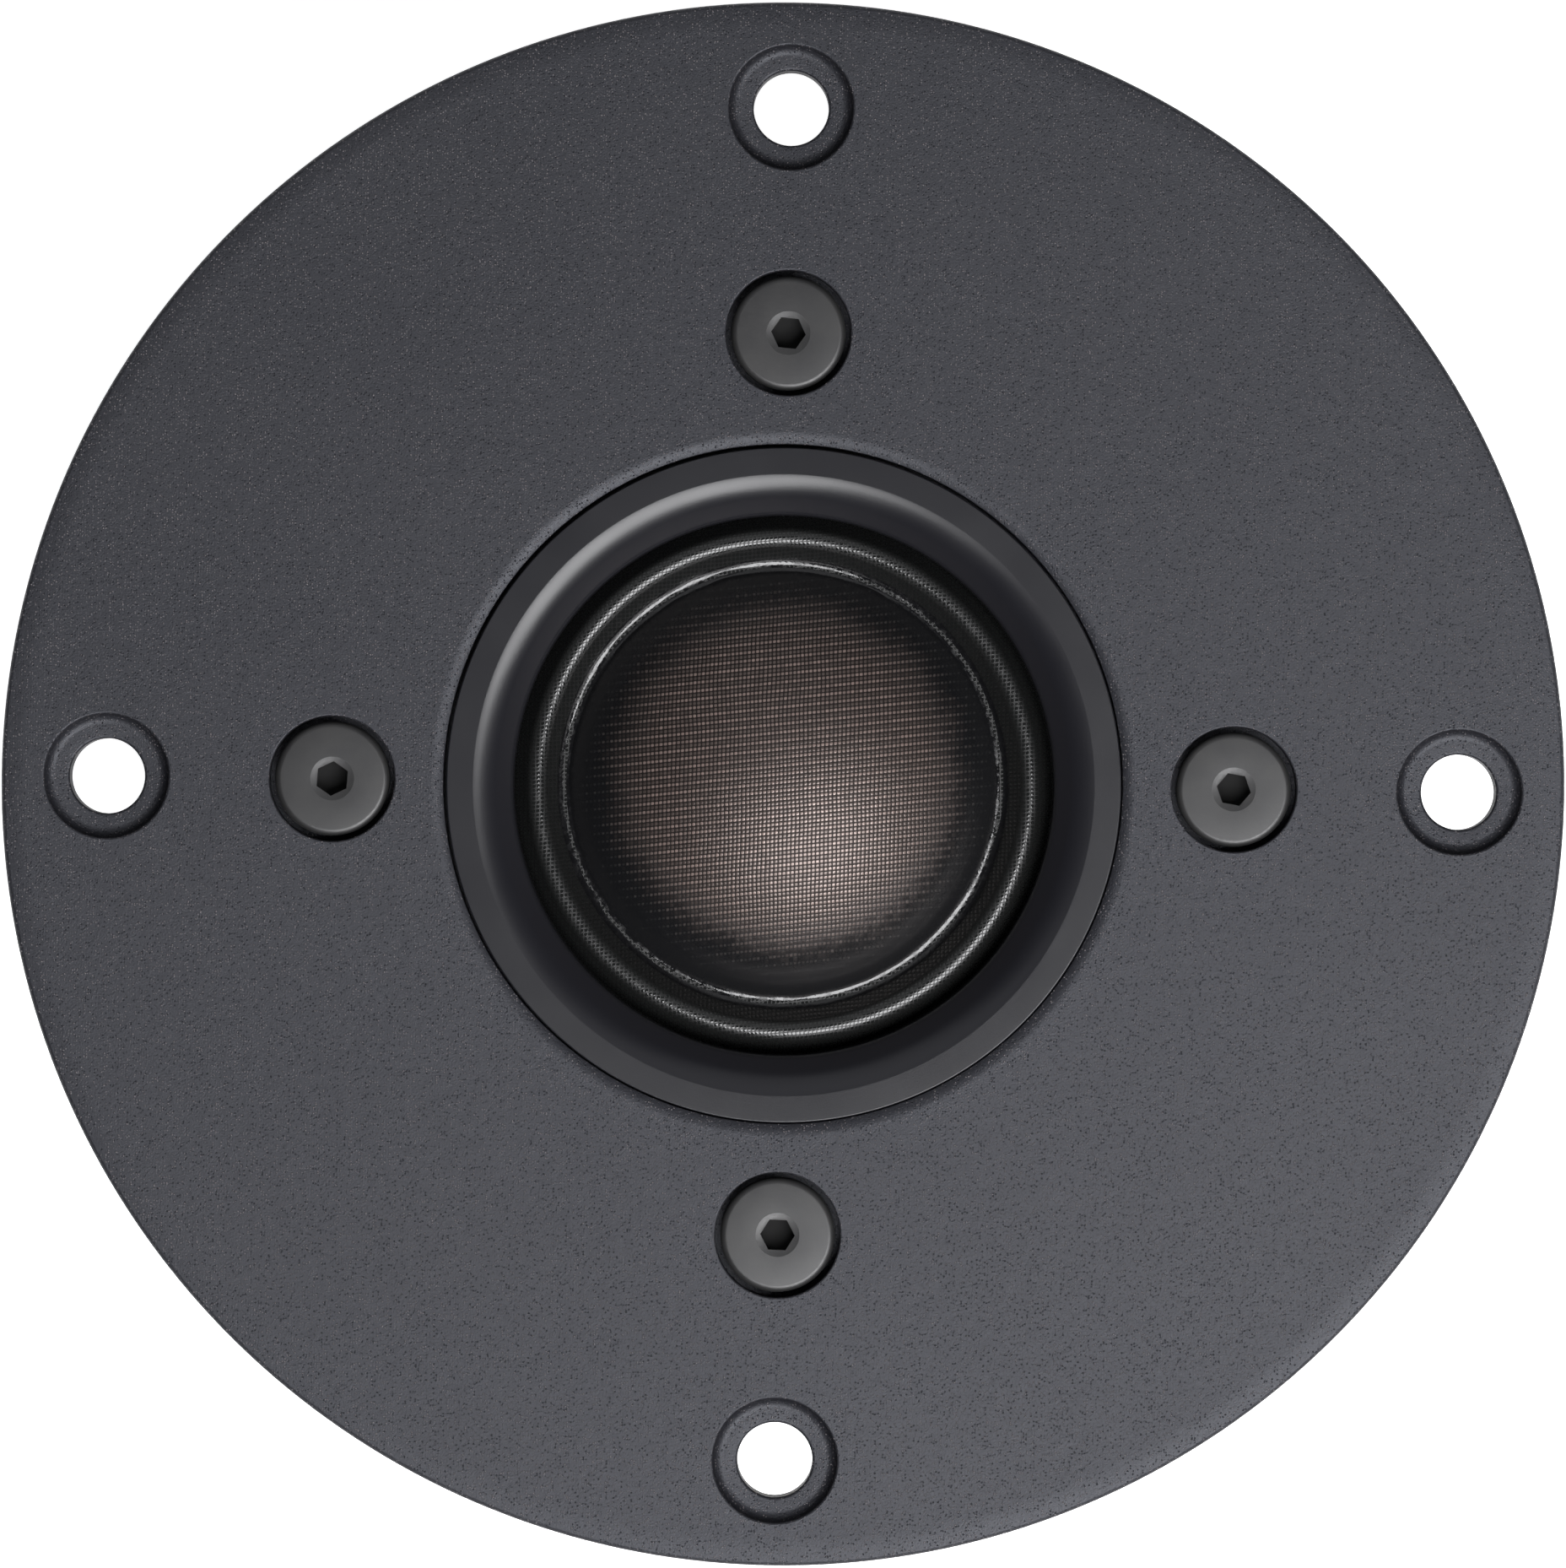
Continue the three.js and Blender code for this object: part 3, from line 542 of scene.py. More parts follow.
def screw_coat():
    """Black oxide on a socket screw, with painted shade that turns it near black below its face, in the
    socket and down the rounded edge.
    """
    material, tree, shader = new_material("screw_black", (0.03, 0.03, 0.031), 0.38, specular=0.5)
    where = place_node(tree)
    fine = noise(tree, where, 0.2, detail=3)
    wear = noise(tree, where, 1.4, detail=4)
    split = tree.nodes.new("ShaderNodeSeparateXYZ")
    tree.links.new(where, split.inputs[0])
    face_z = high_z("faceplate_screw_1")
    # painted shade: 0 below the face, where the colour goes near black and dull, 1 on the face
    above_painted_shade = remap(tree, split.outputs["Z"], face_z - 0.17, face_z - 0.04, 0, 1)
    worn = remap(tree, wear, 0.35, 0.7, 0, 1)
    face = mix_color(tree, worn, (0.013, 0.013, 0.0138), (0.019, 0.0187, 0.0187))
    tree.links.new(mix_color(tree, above_painted_shade, (0.001, 0.001, 0.001), face), shader.inputs["Base Color"])
    satin = remap(tree, fine, 0.3, 0.7, 0.38, 0.47)
    tree.links.new(remap(tree, above_painted_shade, 0, 1, 0.95, satin), shader.inputs["Roughness"])
    bump(tree, shader, fine, 0.004)
    return material


def thread_places(tree, where):
    """Distances across the columns and the rows of the cloth, in threads. Only the rows slant."""
    slant = tree.nodes.new("ShaderNodeVectorRotate")
    slant.rotation_type = "Z_AXIS"
    slant.inputs["Angle"].default_value = -math.radians(ROW_SLANT_DEG)
    tree.links.new(where, slant.inputs["Vector"])
    across_rows = tree.nodes.new("ShaderNodeSeparateXYZ")
    tree.links.new(slant.outputs[0], across_rows.inputs[0])
    across_columns = tree.nodes.new("ShaderNodeSeparateXYZ")
    tree.links.new(where, across_columns.inputs[0])
    drift = remap(tree, noise(tree, where, 5, detail=1), 0.3, 0.7, -0.25, 0.25)
    x = plus_share(tree, drift, across_columns.outputs["X"], 1 / WEAVE_PITCH)
    y = math_node(tree, "MULTIPLY", across_rows.outputs["Y"], 1 / WEAVE_PITCH)
    return x, y


def weave(tree, where):
    """The cloth's crossings: height from 0 to 1, a value that is high on every second row, and chance."""
    x, y = thread_places(tree, where)
    column = math_node(tree, "SINE", math_node(tree, "MULTIPLY", x, math.pi))
    row = math_node(tree, "SINE", math_node(tree, "MULTIPLY", y, math.pi))
    signed = math_node(tree, "MULTIPLY", column, row)
    crossing = tree.nodes.new("ShaderNodeCombineXYZ")
    tree.links.new(math_node(tree, "FLOOR", x), crossing.inputs[0])
    tree.links.new(math_node(tree, "FLOOR", y), crossing.inputs[1])
    chance = tree.nodes.new("ShaderNodeTexWhiteNoise")
    tree.links.new(crossing.outputs[0], chance.inputs["Vector"])
    alternate = plus_share(tree, math_node(tree, "MULTIPLY", row, 0.7), signed, 0.3)
    return math_node(tree, "ABSOLUTE", signed), alternate, chance.outputs["Value"]


def dome_cloth():
    """Woven dome: brown where its damping coat is thin, smooth and black where it is thick; the brown disc
    is partly painted reflection of the bright overhead, the black rim partly painted dark reflection.
    """
    material, tree, shader = new_material("dome_cloth", (0.05, 0.04, 0.035), 0.42, specular=1)
    where = place_node(tree)
    height, alternate, chance = weave(tree, where)
    blotch = noise(tree, where, 2.5, detail=3)
    fine = noise(tree, where, 0.12, detail=2)
    off_axis = tree.nodes.new("ShaderNodeVectorMath")
    off_axis.operation = "SUBTRACT"
    tree.links.new(where, off_axis.inputs[0])
    off_axis.inputs[1].default_value = BROWN_DISC_MIDDLE
    ragged = plus_share(tree, radius_node(tree, off_axis.outputs[0]), blotch, 1.4)
    ragged = plus_share(tree, ragged, chance, 0.9)
    # coat and painted reflection: 0 in the brown disc, 1 at the smooth black rim
    coat_and_painted_dark = remap(tree, ragged, 9.9, 14.1, 0, 1, smooth=True)
    bare = math_node(tree, "SUBTRACT", 1.0, coat_and_painted_dark)
    crown = remap(tree, height, 0.12, 0.75, 0, 1, smooth=True)
    shown = math_node(tree, "MULTIPLY", crown, remap(tree, alternate, -0.5, 0.5, 0.22, 1))
    shown = math_node(tree, "MULTIPLY", shown, remap(tree, chance, 0, 1, 0.55, 1.15))
    # thin coat colour, its brown partly painted reflection of the bright overhead
    thin = mix_color(tree, shown, (0.004, 0.0033, 0.003), (0.142, 0.106, 0.095))
    spots = remap(tree, height, 0.4, 0.9, 0, 1)
    spots = math_node(tree, "MULTIPLY", spots, remap(tree, ragged, 11, 15, 1, 0))
    spots = math_node(tree, "MULTIPLY", spots, remap(tree, alternate, 0, 0.7, 0, 1))
    # thick coat colour, its black partly painted dark reflection
    thick = mix_color(tree, spots, (0.005, 0.0052, 0.0058), (0.045, 0.045, 0.044))
    tree.links.new(mix_color(tree, coat_and_painted_dark, thin, thick), shader.inputs["Base Color"])
    thread_rough = remap(tree, chance, 0, 1, 0.42, 0.32)
    open_rough = remap(tree, crown, 0, 1, 0.58, thread_rough)
    open_rough = math_node(tree, "ADD", open_rough, remap(tree, fine, 0.3, 0.7, -0.05, 0.05))
    tree.links.new(remap(tree, coat_and_painted_dark, 0.4, 1, open_rough, 0.25), shader.inputs["Roughness"])
    bump(tree, shader, math_node(tree, "MULTIPLY", plus_share(tree, height, fine, 0.2), bare), 0.022)
    tint = mix_color(tree, crown, (0.26, 0.22, 0.21), (1, 0.86, 0.8))
    tint = mix_color(tree, coat_and_painted_dark, tint, (0.56, 0.52, 0.51))
    tree.links.new(tint, shader.inputs["Specular Tint"])
    return material


def surround_cloth():
    """The same cloth under a glossy coat, which leaves only the crowns of its threads."""
    material, tree, shader = new_material("surround_cloth", (0.006, 0.006, 0.0062), 0.22, specular=0.5)
    where = place_node(tree)
    height, _alternate, chance = weave(tree, where)
    fine = noise(tree, where, 0.1, detail=2)
    crown = remap(tree, height, 0.1, 0.6, 0, 1, smooth=True)
    color = mix_color(tree, crown, (0.001, 0.001, 0.001), (0.008, 0.0085, 0.0083))
    tree.links.new(color, shader.inputs["Base Color"])
    shine = math_node(tree, "MULTIPLY", crown, remap(tree, chance, 0, 1, 0.45, 1))
    tree.links.new(remap(tree, shine, 0, 0.75, 0.55, 0.06), shader.inputs["Roughness"])
    relief = math_node(tree, "MULTIPLY", height, remap(tree, chance, 0, 1, 0.6, 1.4))
    bump(tree, shader, plus_share(tree, relief, fine, 0.25), 0.007)
    return material


def glue():
    """Glossy black adhesive in short smears and dull gaps."""
    material, tree, shader = new_material("glue_black", (0.004, 0.004, 0.0045), 0.2, specular=0.5)
    where = place_node(tree)
    smear = noise(tree, where, 0.5, detail=2)
    tree.links.new(remap(tree, smear, 0.4, 0.65, 0.06, 0.35), shader.inputs["Roughness"])
    bump(tree, shader, noise(tree, where, 0.25, detail=2), 0.016)
    return material


def plain(name, color, roughness, metallic=0.0, grain=0.3, depth=0.01, vary=0.15, stretch=None):
    """A finish with fine grain in its colour, roughness and surface."""
    material, tree, shader = new_material(name, color, roughness, metallic)
    where = place_node(tree)
    fine = noise(tree, where, grain, detail=3, stretch=stretch)
    broad = noise(tree, where, grain * 14, detail=3)
    dark = [c * (1 - vary) for c in color]
    light = [min(1, c * (1 + vary)) for c in color]
    mottled = mix_color(tree, remap(tree, broad, 0.3, 0.7, 0, 1), dark, light)
    tree.links.new(mottled, shader.inputs["Base Color"])
    uneven = remap(tree, fine, 0.3, 0.7, roughness - 0.07, roughness + 0.07)
    tree.links.new(uneven, shader.inputs["Roughness"])
    bump(tree, shader, fine, depth)
    return material


COAT = powder_coat()
SATIN = satin_plastic()
SCREW = screw_coat()
DOME_CLOTH = dome_cloth()
SURROUND_CLOTH = surround_cloth()
GLUE = glue()
MOULDED = plain("moulded_black", (0.018, 0.018, 0.02), 0.5, grain=0.35, depth=0.03)
STEEL = plain("zinc_steel", (0.3, 0.3, 0.3), 0.36, 1.0, grain=0.25, depth=0.012, vary=0.15)
FERRITE = plain("ferrite", (0.03, 0.03, 0.034), 0.5, grain=0.3, depth=0.015, vary=0.3, stretch=(1, 1, 0.2))
FOAM = plain("foam", (0.03, 0.03, 0.032), 0.9, grain=0.5, depth=0.08)
FELT = plain("felt", (0.3, 0.29, 0.27), 0.95, grain=0.4, depth=0.12, stretch=(1, 1, 0.3))
COPPER = plain("copper", (0.5, 0.22, 0.1), 0.32, 1.0, grain=0.3, depth=0.004)
BRASS = plain("brass", (0.46, 0.32, 0.12), 0.32, 1.0, grain=0.3, depth=0.006)
FILM = plain("former_film", (0.4, 0.17, 0.04), 0.35, grain=0.4, depth=0.004)


# ---------------------------------------------------------------- faceplate and its screws

def faceplate():
    """A crowned plate with a boss behind it, counterbored mounting holes, screw wells and two lead slots."""
    outline = filleted([
        (RECESS_RADIUS, SEAT_Z, 0.2),
        (BOSS_RADIUS, SEAT_Z, 0.4),
        (BOSS_RADIUS, FLANGE_Z, 0.5),
        (FLANGE_RADIUS, FLANGE_Z, 0.4),
        (FLANGE_RADIUS, FRONT_Z - 0.1, 0.35),
        (FLANGE_RADIUS - CROWN_WIDTH, FRONT_Z, CROWN_FILLET),
        (OPENING_RADIUS + 0.48, FRONT_Z, 1.8),
        (OPENING_RADIUS, FRONT_Z - 0.23, 0.08),
        (OPENING_RADIUS, CLAMP_Z, 0.1),
        (RECESS_RADIUS, CLAMP_Z, 0.1),
    ])
    plate = turned("faceplate_body", outline, COAT, FINE_SIDES)
    floor_z = FRONT_Z - COUNTERBORE_DEPTH
    mount = [
        (0, FLANGE_Z - 1),
        (MOUNT_BORE_RADIUS, FLANGE_Z - 1),
        (MOUNT_BORE_RADIUS, floor_z, 0.2),
        *flared(COUNTERBORE_RADIUS - 0.12, floor_z, flare=0.16, floor_fillet=0.7),
    ]
    well = [
        (0, SEAT_Z - 1),
        (SCREW_BORE_RADIUS, SEAT_Z - 1),
        (SCREW_BORE_RADIUS, FRONT_Z - WELL_DEPTH),
        *flared(COUNTERBORE_RADIUS - 0.08, FRONT_Z - WELL_DEPTH, flare=0.12),
    ]
    tools = []
    for angle in QUARTER_TURNS_DEG:
        tools.append(cutter(filleted(mount), on_circle(MOUNT_CIRCLE_RADIUS, angle)))
        tools.append(cutter(filleted(well), on_circle(SCREW_CIRCLE_RADIUS, angle)))
    for x in (-LEAD_SLOT_SPACING, LEAD_SLOT_SPACING):
        low = (x - LEAD_SLOT_WIDTH / 2, -BOSS_RADIUS - 1, SEAT_Z - 1)
        high = (x + LEAD_SLOT_WIDTH / 2, 1 - RECESS_RADIUS, SEAT_Z + LEAD_SLOT_DEPTH)
        tools.append(box_object("slot", low, high))
    return even_shading(cut(plate, tools))


def socket_screw(name, turn_deg, at):
    """A low-headed socket screw with a countersunk rim round its hexagon."""
    seat_z = FRONT_Z - WELL_DEPTH
    top_z = seat_z + HEAD_HEIGHT
    body = filleted([
        (0, seat_z - THREAD_LENGTH),
        (THREAD_RADIUS - 0.4, seat_z - THREAD_LENGTH),
        (THREAD_RADIUS, seat_z - THREAD_LENGTH + 0.4),
        (THREAD_RADIUS, seat_z),
        (HEAD_RADIUS, seat_z, 0.15),
        (HEAD_RADIUS, top_z, 0.42),
        (SOCKET_RIM_RADIUS, top_z, 0.04),
        (0, top_z - SOCKET_RIM_DEPTH),
    ])
    screw = turned(name, body, SCREW, 96)
    corner = SOCKET_FLATS / math.sqrt(3)
    socket_z = top_z - SOCKET_DEPTH
    socket = [(0, socket_z - 0.3), (corner, socket_z), (corner, top_z + 1), (0, top_z + 1)]
    hexagon = cutter(socket, sides=6, start_deg=turn_deg)
    even_shading(cut(screw, [hexagon]))
    shift(screw, *at)
    return screw


place(faceplate(), "motor", "textured_black", "faceplate")
for index, angle in enumerate(QUARTER_TURNS_DEG):
    node = f"faceplate_screw_{index + 1}"
    screw = socket_screw(f"{node}_body", SOCKET_TURNS_DEG[index], on_circle(SCREW_CIRCLE_RADIUS, angle))
    place(screw, "motor", "screw_black", node)


# ---------------------------------------------------------------- waveguide ring, surround and dome

def waveguide_ring():
    """A flat land that breaks into a rounded lip, then a cone down to the straight throat."""
    start = math.radians(LIP_START_DEG)
    lip = arc(LAND_INNER_RADIUS + LIP_ROUND * math.sin(start), RING_TOP_Z - LIP_ROUND * math.cos(start),
              LIP_ROUND, 90 + LIP_START_DEG, 90 + CONE_DEG, 24)
    cone_radius, cone_z = lip[-1]
    cone_depth = (cone_radius - THROAT_RADIUS) * math.tan(math.radians(CONE_DEG))
    outline = filleted([
        (THROAT_RADIUS, CLOTH_TOP_Z + 0.01, 0.1),
        (CLOTH_SEAT_RADIUS, CLOTH_TOP_Z + 0.01),
        (CLOTH_SEAT_RADIUS, CLOTH_Z),
        (CLAMP_RADIUS, CLOTH_Z, 0.1),
        (CLAMP_RADIUS, CLAMP_Z, 0.1),
        (RING_RADIUS, CLAMP_Z),
        (RING_RADIUS, RING_TOP_Z, 0.1),
        *lip,
        (THROAT_RADIUS, cone_z - cone_depth, 0.9),
    ])
    ring = even_shading(turned("waveguide_ring_body", outline, SATIN, FINE_SIDES))
    shift(ring, *RING_SHIFT)
    return ring


def surround():
    """A roll with a rounded crest and straight flanks between a flat tongue and a flat rim."""
    half_width = (ROLL_OUTER_RADIUS - ROLL_INNER_RADIUS) / 2
    middle = ROLL_INNER_RADIUS + half_width
    flank = math.radians(ROLL_FLANK_DEG)
    flank_rise = (half_width - ROLL_CREST_ROUND * math.sin(flank)) * math.tan(flank)
    crest_z = CLOTH_TOP_Z + flank_rise - ROLL_CREST_ROUND * math.cos(flank)
    inside = ROLL_CREST_ROUND - CLOTH_THICKNESS
    reach = inside * math.sin(flank) + (crest_z + inside * math.cos(flank) - CLOTH_Z) / math.tan(flank)
    outline = filleted([
        (CLOTH_TONGUE_RADIUS, CLOTH_Z),
        (middle - reach, CLOTH_Z, 0.3),
        *arc(middle, crest_z, inside, 90 + ROLL_FLANK_DEG, 90 - ROLL_FLANK_DEG, 14),
        (middle + reach, CLOTH_Z, 0.3),
        (CLOTH_RIM_RADIUS, CLOTH_Z),
        (CLOTH_RIM_RADIUS, CLOTH_TOP_Z),
        (ROLL_OUTER_RADIUS, CLOTH_TOP_Z, 0.25),
        *arc(middle, crest_z, ROLL_CREST_ROUND, 90 - ROLL_FLANK_DEG, 90 + ROLL_FLANK_DEG, 20),
        (ROLL_INNER_RADIUS, CLOTH_TOP_Z, 0.15),
        (CLOTH_TONGUE_RADIUS, CLOTH_TOP_Z),
    ])
    return turned("surround_roll", outline, SURROUND_CLOTH, FINE_SIDES)


def dome():
    """A spherical cap of even thickness with a short skirt."""
    base_z = CLOTH_TOP_Z - DOME_SKIRT
    height = DOME_TOP_Z - base_z
    size = (DOME_RADIUS ** 2 + height ** 2) / (2 * height)
    centre_z = DOME_TOP_Z - size
    edge_deg = math.degrees(math.acos(DOME_RADIUS / size))
    inner = size - CLOTH_THICKNESS
    inner_edge_deg = math.degrees(math.acos(DOME_BORE_RADIUS / inner))
    under = arc(0, centre_z, inner, 90, inner_edge_deg, 40)
    over = arc(0, centre_z, size, edge_deg, 90, 56)
    outline = [
        (0, centre_z + inner),
        *under[1:],
        (DOME_BORE_RADIUS, base_z - 0.2),
        (DOME_RADIUS, base_z - 0.2),
        *over[:-1],
        (0, DOME_TOP_Z),
    ]
    return turned("dome_cap", outline, DOME_CLOTH, FINE_SIDES)


def random_waves(seed, first, end, smallest):
    """Waves round the axis as (count, size, phase), from a count of first up to end."""
    random.seed(seed)
    return [
        (count, random.uniform(smallest, 1) / math.sqrt(count), random.uniform(0, 2 * math.pi))
        for count in range(first, end)
    ]


def swell_at(waves, vert):
    angle = math.atan2(vert.co.y, vert.co.x)
    return sum(size * math.sin(count * angle + phase) for count, size, phase in waves)


def glue_line():
    """Adhesive drawn up both sides of the valley between dome and roll, uneven along its length."""
    waves = random_waves(seed=11, first=2, end=40, smallest=0.3)
    hollow = arc(GLUE_RADIUS, CLOTH_TOP_Z + GLUE_HOLLOW_RISE, GLUE_HOLLOW_ROUND, 232, 322, 12)
    under = [(GLUE_RADIUS + 0.57, CLOTH_TOP_Z - 0.05), (GLUE_RADIUS - 0.23, CLOTH_TOP_Z - 0.25)]
    bead = turned_bmesh([*hollow, *under], FINE_SIDES)
    for vert in bead.verts:
        swell = swell_at(waves, vert)
        if vert.co.z > CLOTH_TOP_Z - 0.04:
            vert.co.z += GLUE_SWELL_HEIGHT * swell
            stretch = 1 + GLUE_SWELL_WIDTH * swell / CLOTH_TONGUE_RADIUS
            vert.co.x *= stretch
            vert.co.y *= stretch
    return new_object("glue_line", bead, GLUE, 80)


place(waveguide_ring(), "motor", "satin_black", "waveguide_ring")
place(dome(), "diaphragm", "dome_cloth", "dome")
place(glue_line(), "diaphragm", "surround_cloth")

roll = surround()
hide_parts("surround")
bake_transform(roll, "motor", "diaphragm", start=(0.018, 0, 0.042), end=(0.0145, 0, 0.042))
blend_weights = roll.data.attributes["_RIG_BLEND"].data
for vert in roll.data.vertices:
    vert_radius = math.hypot(vert.co.x, vert.co.y) / MM
    share = (ROLL_OUTER_RADIUS - vert_radius) / (ROLL_OUTER_RADIUS - ROLL_INNER_RADIUS)
    share = min(1, max(0, share))
    blend_weights[vert.index].value = share * share * (3 - 2 * share)


# ---------------------------------------------------------------- motor, cup and gaskets

def hole_circle(outline, circle_radius, angles, sides):
    """The same cutter at every angle of a circle."""
    return [cutter(outline, on_circle(circle_radius, angle), sides) for angle in angles]


def straight_hole(radius, low, high):
    return [(0, low), (radius, low), (radius, high), (0, high)]


def ring_outline(inner, outer, low, high, fillet):
    return filleted([(inner, low), (outer, low, fillet), (outer, high, fillet), (inner, high)])


def wavy_bead(name, radius, height, size, seed):
    """A thin squeezed-out line of adhesive round a joint of the motor."""
    waves = random_waves(seed, first=1, end=30, smallest=0.2)
    bead = turned_bmesh(arc(radius, height, size, 0, 330, 11), ROUND_SIDES)
    for vert in bead.verts:
        vert.co.z = height + (vert.co.z - height) * (1 + 0.2 * swell_at(waves, vert))
    return new_object(name, bead, GLUE, 80)


def yoke():
    """The back plate with its vented pole and the blind holes of the cup screws."""
    plate_radius = radius_of("yoke")
    seat_z = high_z("yoke")
    outline = filleted([
        (VENT_RADIUS, YOKE_Z, 0.4),
        (plate_radius, YOKE_Z, 0.6),
        (plate_radius, MAGNET_Z, 0.6),
        (POLE_RADIUS, MAGNET_Z, 0.5),
        (POLE_RADIUS, seat_z),
        (VENT_RADIUS, seat_z, 0.4),
    ])
    hole = [
        (0, YOKE_Z - 1),
        (CUP_SCREW_THREAD_RADIUS, YOKE_Z - 1),
        (CUP_SCREW_THREAD_RADIUS, YOKE_Z + 4.5),
        (0, YOKE_Z + 5),
    ]
    tools = hole_circle(hole, CUP_SCREW_CIRCLE_RADIUS, CUP_SCREW_ANGLES_DEG, 24)
    return even_shading(cut(turned("yoke_body", outline, STEEL), tools))


def rear_cup():
    """A moulded cup with a rounded back, a shallow ring groove, a gate mark and a screw flange."""
    flange_z = CUP_TOP_Z - CUP_FLANGE_THICKNESS
    flange_radius = radius_of("rear_cup")
    outline = filleted([
        (0, 0.25),
        (0.9, 0.25, 0.1),
        (0.9, 0.5, 0.1),
        (1.8, 0.5, 0.1),
        (1.8, 0, 0.15),
        (CUP_GROOVE_RADIUS - 0.6, 0, 0.15),
        (CUP_GROOVE_RADIUS - 0.4, 0.35, 0.1),
        (CUP_GROOVE_RADIUS + 0.4, 0.35, 0.1),
        (CUP_GROOVE_RADIUS + 0.6, 0, 0.15),
        (CUP_WALL_RADIUS - 0.3, 0, 1.5),
        (CUP_WALL_RADIUS, flange_z, 0.5),
        (flange_radius, flange_z, 0.35),
        (flange_radius, CUP_TOP_Z, 0.25),
        (CUP_BORE_RADIUS, CUP_TOP_Z, 0.3),
        (CUP_BORE_RADIUS, CUP_FLOOR, 0.8),
        (0, CUP_FLOOR),
    ])
    hole = straight_hole(CUP_SCREW_CLEARANCE_RADIUS, flange_z - 1, CUP_TOP_Z + 1)
    tools = hole_circle(hole, CUP_SCREW_CIRCLE_RADIUS, CUP_SCREW_ANGLES_DEG, 32)
    return even_shading(cut(turned("rear_cup_body", outline, MOULDED), tools))


def soft_ring(name, inner, outer, low, high, hole_radius, circle_radius, angles):
    """A foam gasket with a circle of holes, squeezed a little so that its edges bulge."""
    middle = (low + high) / 2
    half = (high - low) / 2
    outline = [
        *arc(inner + 0.12, middle, half, 90, 270, 8),
        *arc(outer - half - 0.02, middle, half, -90, 90, 8),
    ]
    hole = straight_hole(hole_radius, low - 1, high + 1)
    tools = hole_circle(hole, circle_radius, angles, 32)
    return even_shading(cut(turned(name, outline, FOAM), tools))


def pan_screw(name, head_radius, head_height, shank_radius, shank_length):
    """A pan head screw with a cross recess, its seat at z = 0 and its shank pointing up."""
    outline = filleted([
        (0, -head_height),
        (head_radius * 0.55, -head_height, head_height * 0.4),
        (head_radius, -head_height * 0.55, head_height * 0.4),
        (head_radius, 0, 0.08),
        (shank_radius, 0, 0.05),
        (shank_radius, shank_length - 0.4),
        (shank_radius - 0.4, shank_length),
        (0, shank_length),
    ])
    screw = turned(name, outline, STEEL, 64)
    reach = head_radius * 0.52
    width = head_radius * 0.13
    floor_z = -head_height * 0.45
    open_z = -head_height - 1
    tools = [cutter([(0, open_z), (width * 2.1, open_z), (width * 1.4, floor_z), (0, floor_z)])]
    for x, y in ((reach, width), (width, reach)):
        tools.append(box_object("wing", (-x, -y, open_z), (x, y, floor_z)))
    return even_shading(cut(screw, tools))


magnet_outline = ring_outline(MAGNET_BORE_RADIUS, MAGNET_RADIUS, MAGNET_Z, TOP_PLATE_Z, 0.7)
place(turned("magnet_ring", magnet_outline, FERRITE), "motor", "ferrite", "magnet")
top_plate_outline = ring_outline(TOP_PLATE_BORE_RADIUS, MAGNET_RADIUS, TOP_PLATE_Z, SEAT_Z, 0.5)
top_plate = even_shading(turned("top_plate_ring", top_plate_outline, STEEL))
place(top_plate, "motor", "zinc_steel", "top_plate")
place(yoke(), "motor", "zinc_steel", "yoke")
place(rear_cup(), "motor", "moulded_black", "rear_cup")
glue_back = wavy_bead("glue_back", radius_of("yoke") + 0.05, MAGNET_Z, size=0.35, seed=3)
place(glue_back, "motor", "moulded_black")
glue_front = wavy_bead("glue_front", MAGNET_RADIUS - 0.3, TOP_PLATE_Z, size=0.34, seed=5)
place(glue_front, "motor", "moulded_black")

cup_gasket = soft_ring(
    "cup_gasket_ring", CUP_BORE_RADIUS, radius_of("cup_gasket"), CUP_TOP_Z, YOKE_Z,
    CUP_SCREW_CLEARANCE_RADIUS, CUP_SCREW_CIRCLE_RADIUS, CUP_SCREW_ANGLES_DEG,
)
place(cup_gasket, "motor", "foam", "cup_gasket")
flange_gasket = soft_ring(
    "flange_gasket_ring", FLANGE_GASKET_BORE_RADIUS, radius_of("flange_gasket"), GASKET_Z, FLANGE_Z,
    GASKET_HOLE_RADIUS, MOUNT_CIRCLE_RADIUS, QUARTER_TURNS_DEG,
)
place(flange_gasket, "motor", "foam", "flange_gasket")

for index, angle in enumerate(CUP_SCREW_ANGLES_DEG):
    node = f"cup_screw_{index + 1}"
    screw = pan_screw(f"{node}_body", head_radius=2.3, head_height=1.6, shank_radius=1.2, shank_length=6.5)
    seat = Vector((*on_circle(CUP_SCREW_CIRCLE_RADIUS, angle), CUP_TOP_Z - CUP_FLANGE_THICKNESS))
    turn = Matrix.Rotation(math.radians(17 + 41 * index), 4, "Z")
    screw.data.transform(Matrix.Translation(seat * MM) @ turn)
    place(screw, "motor", "zinc_steel", node)


# ---------------------------------------------------------------- terminals and leads

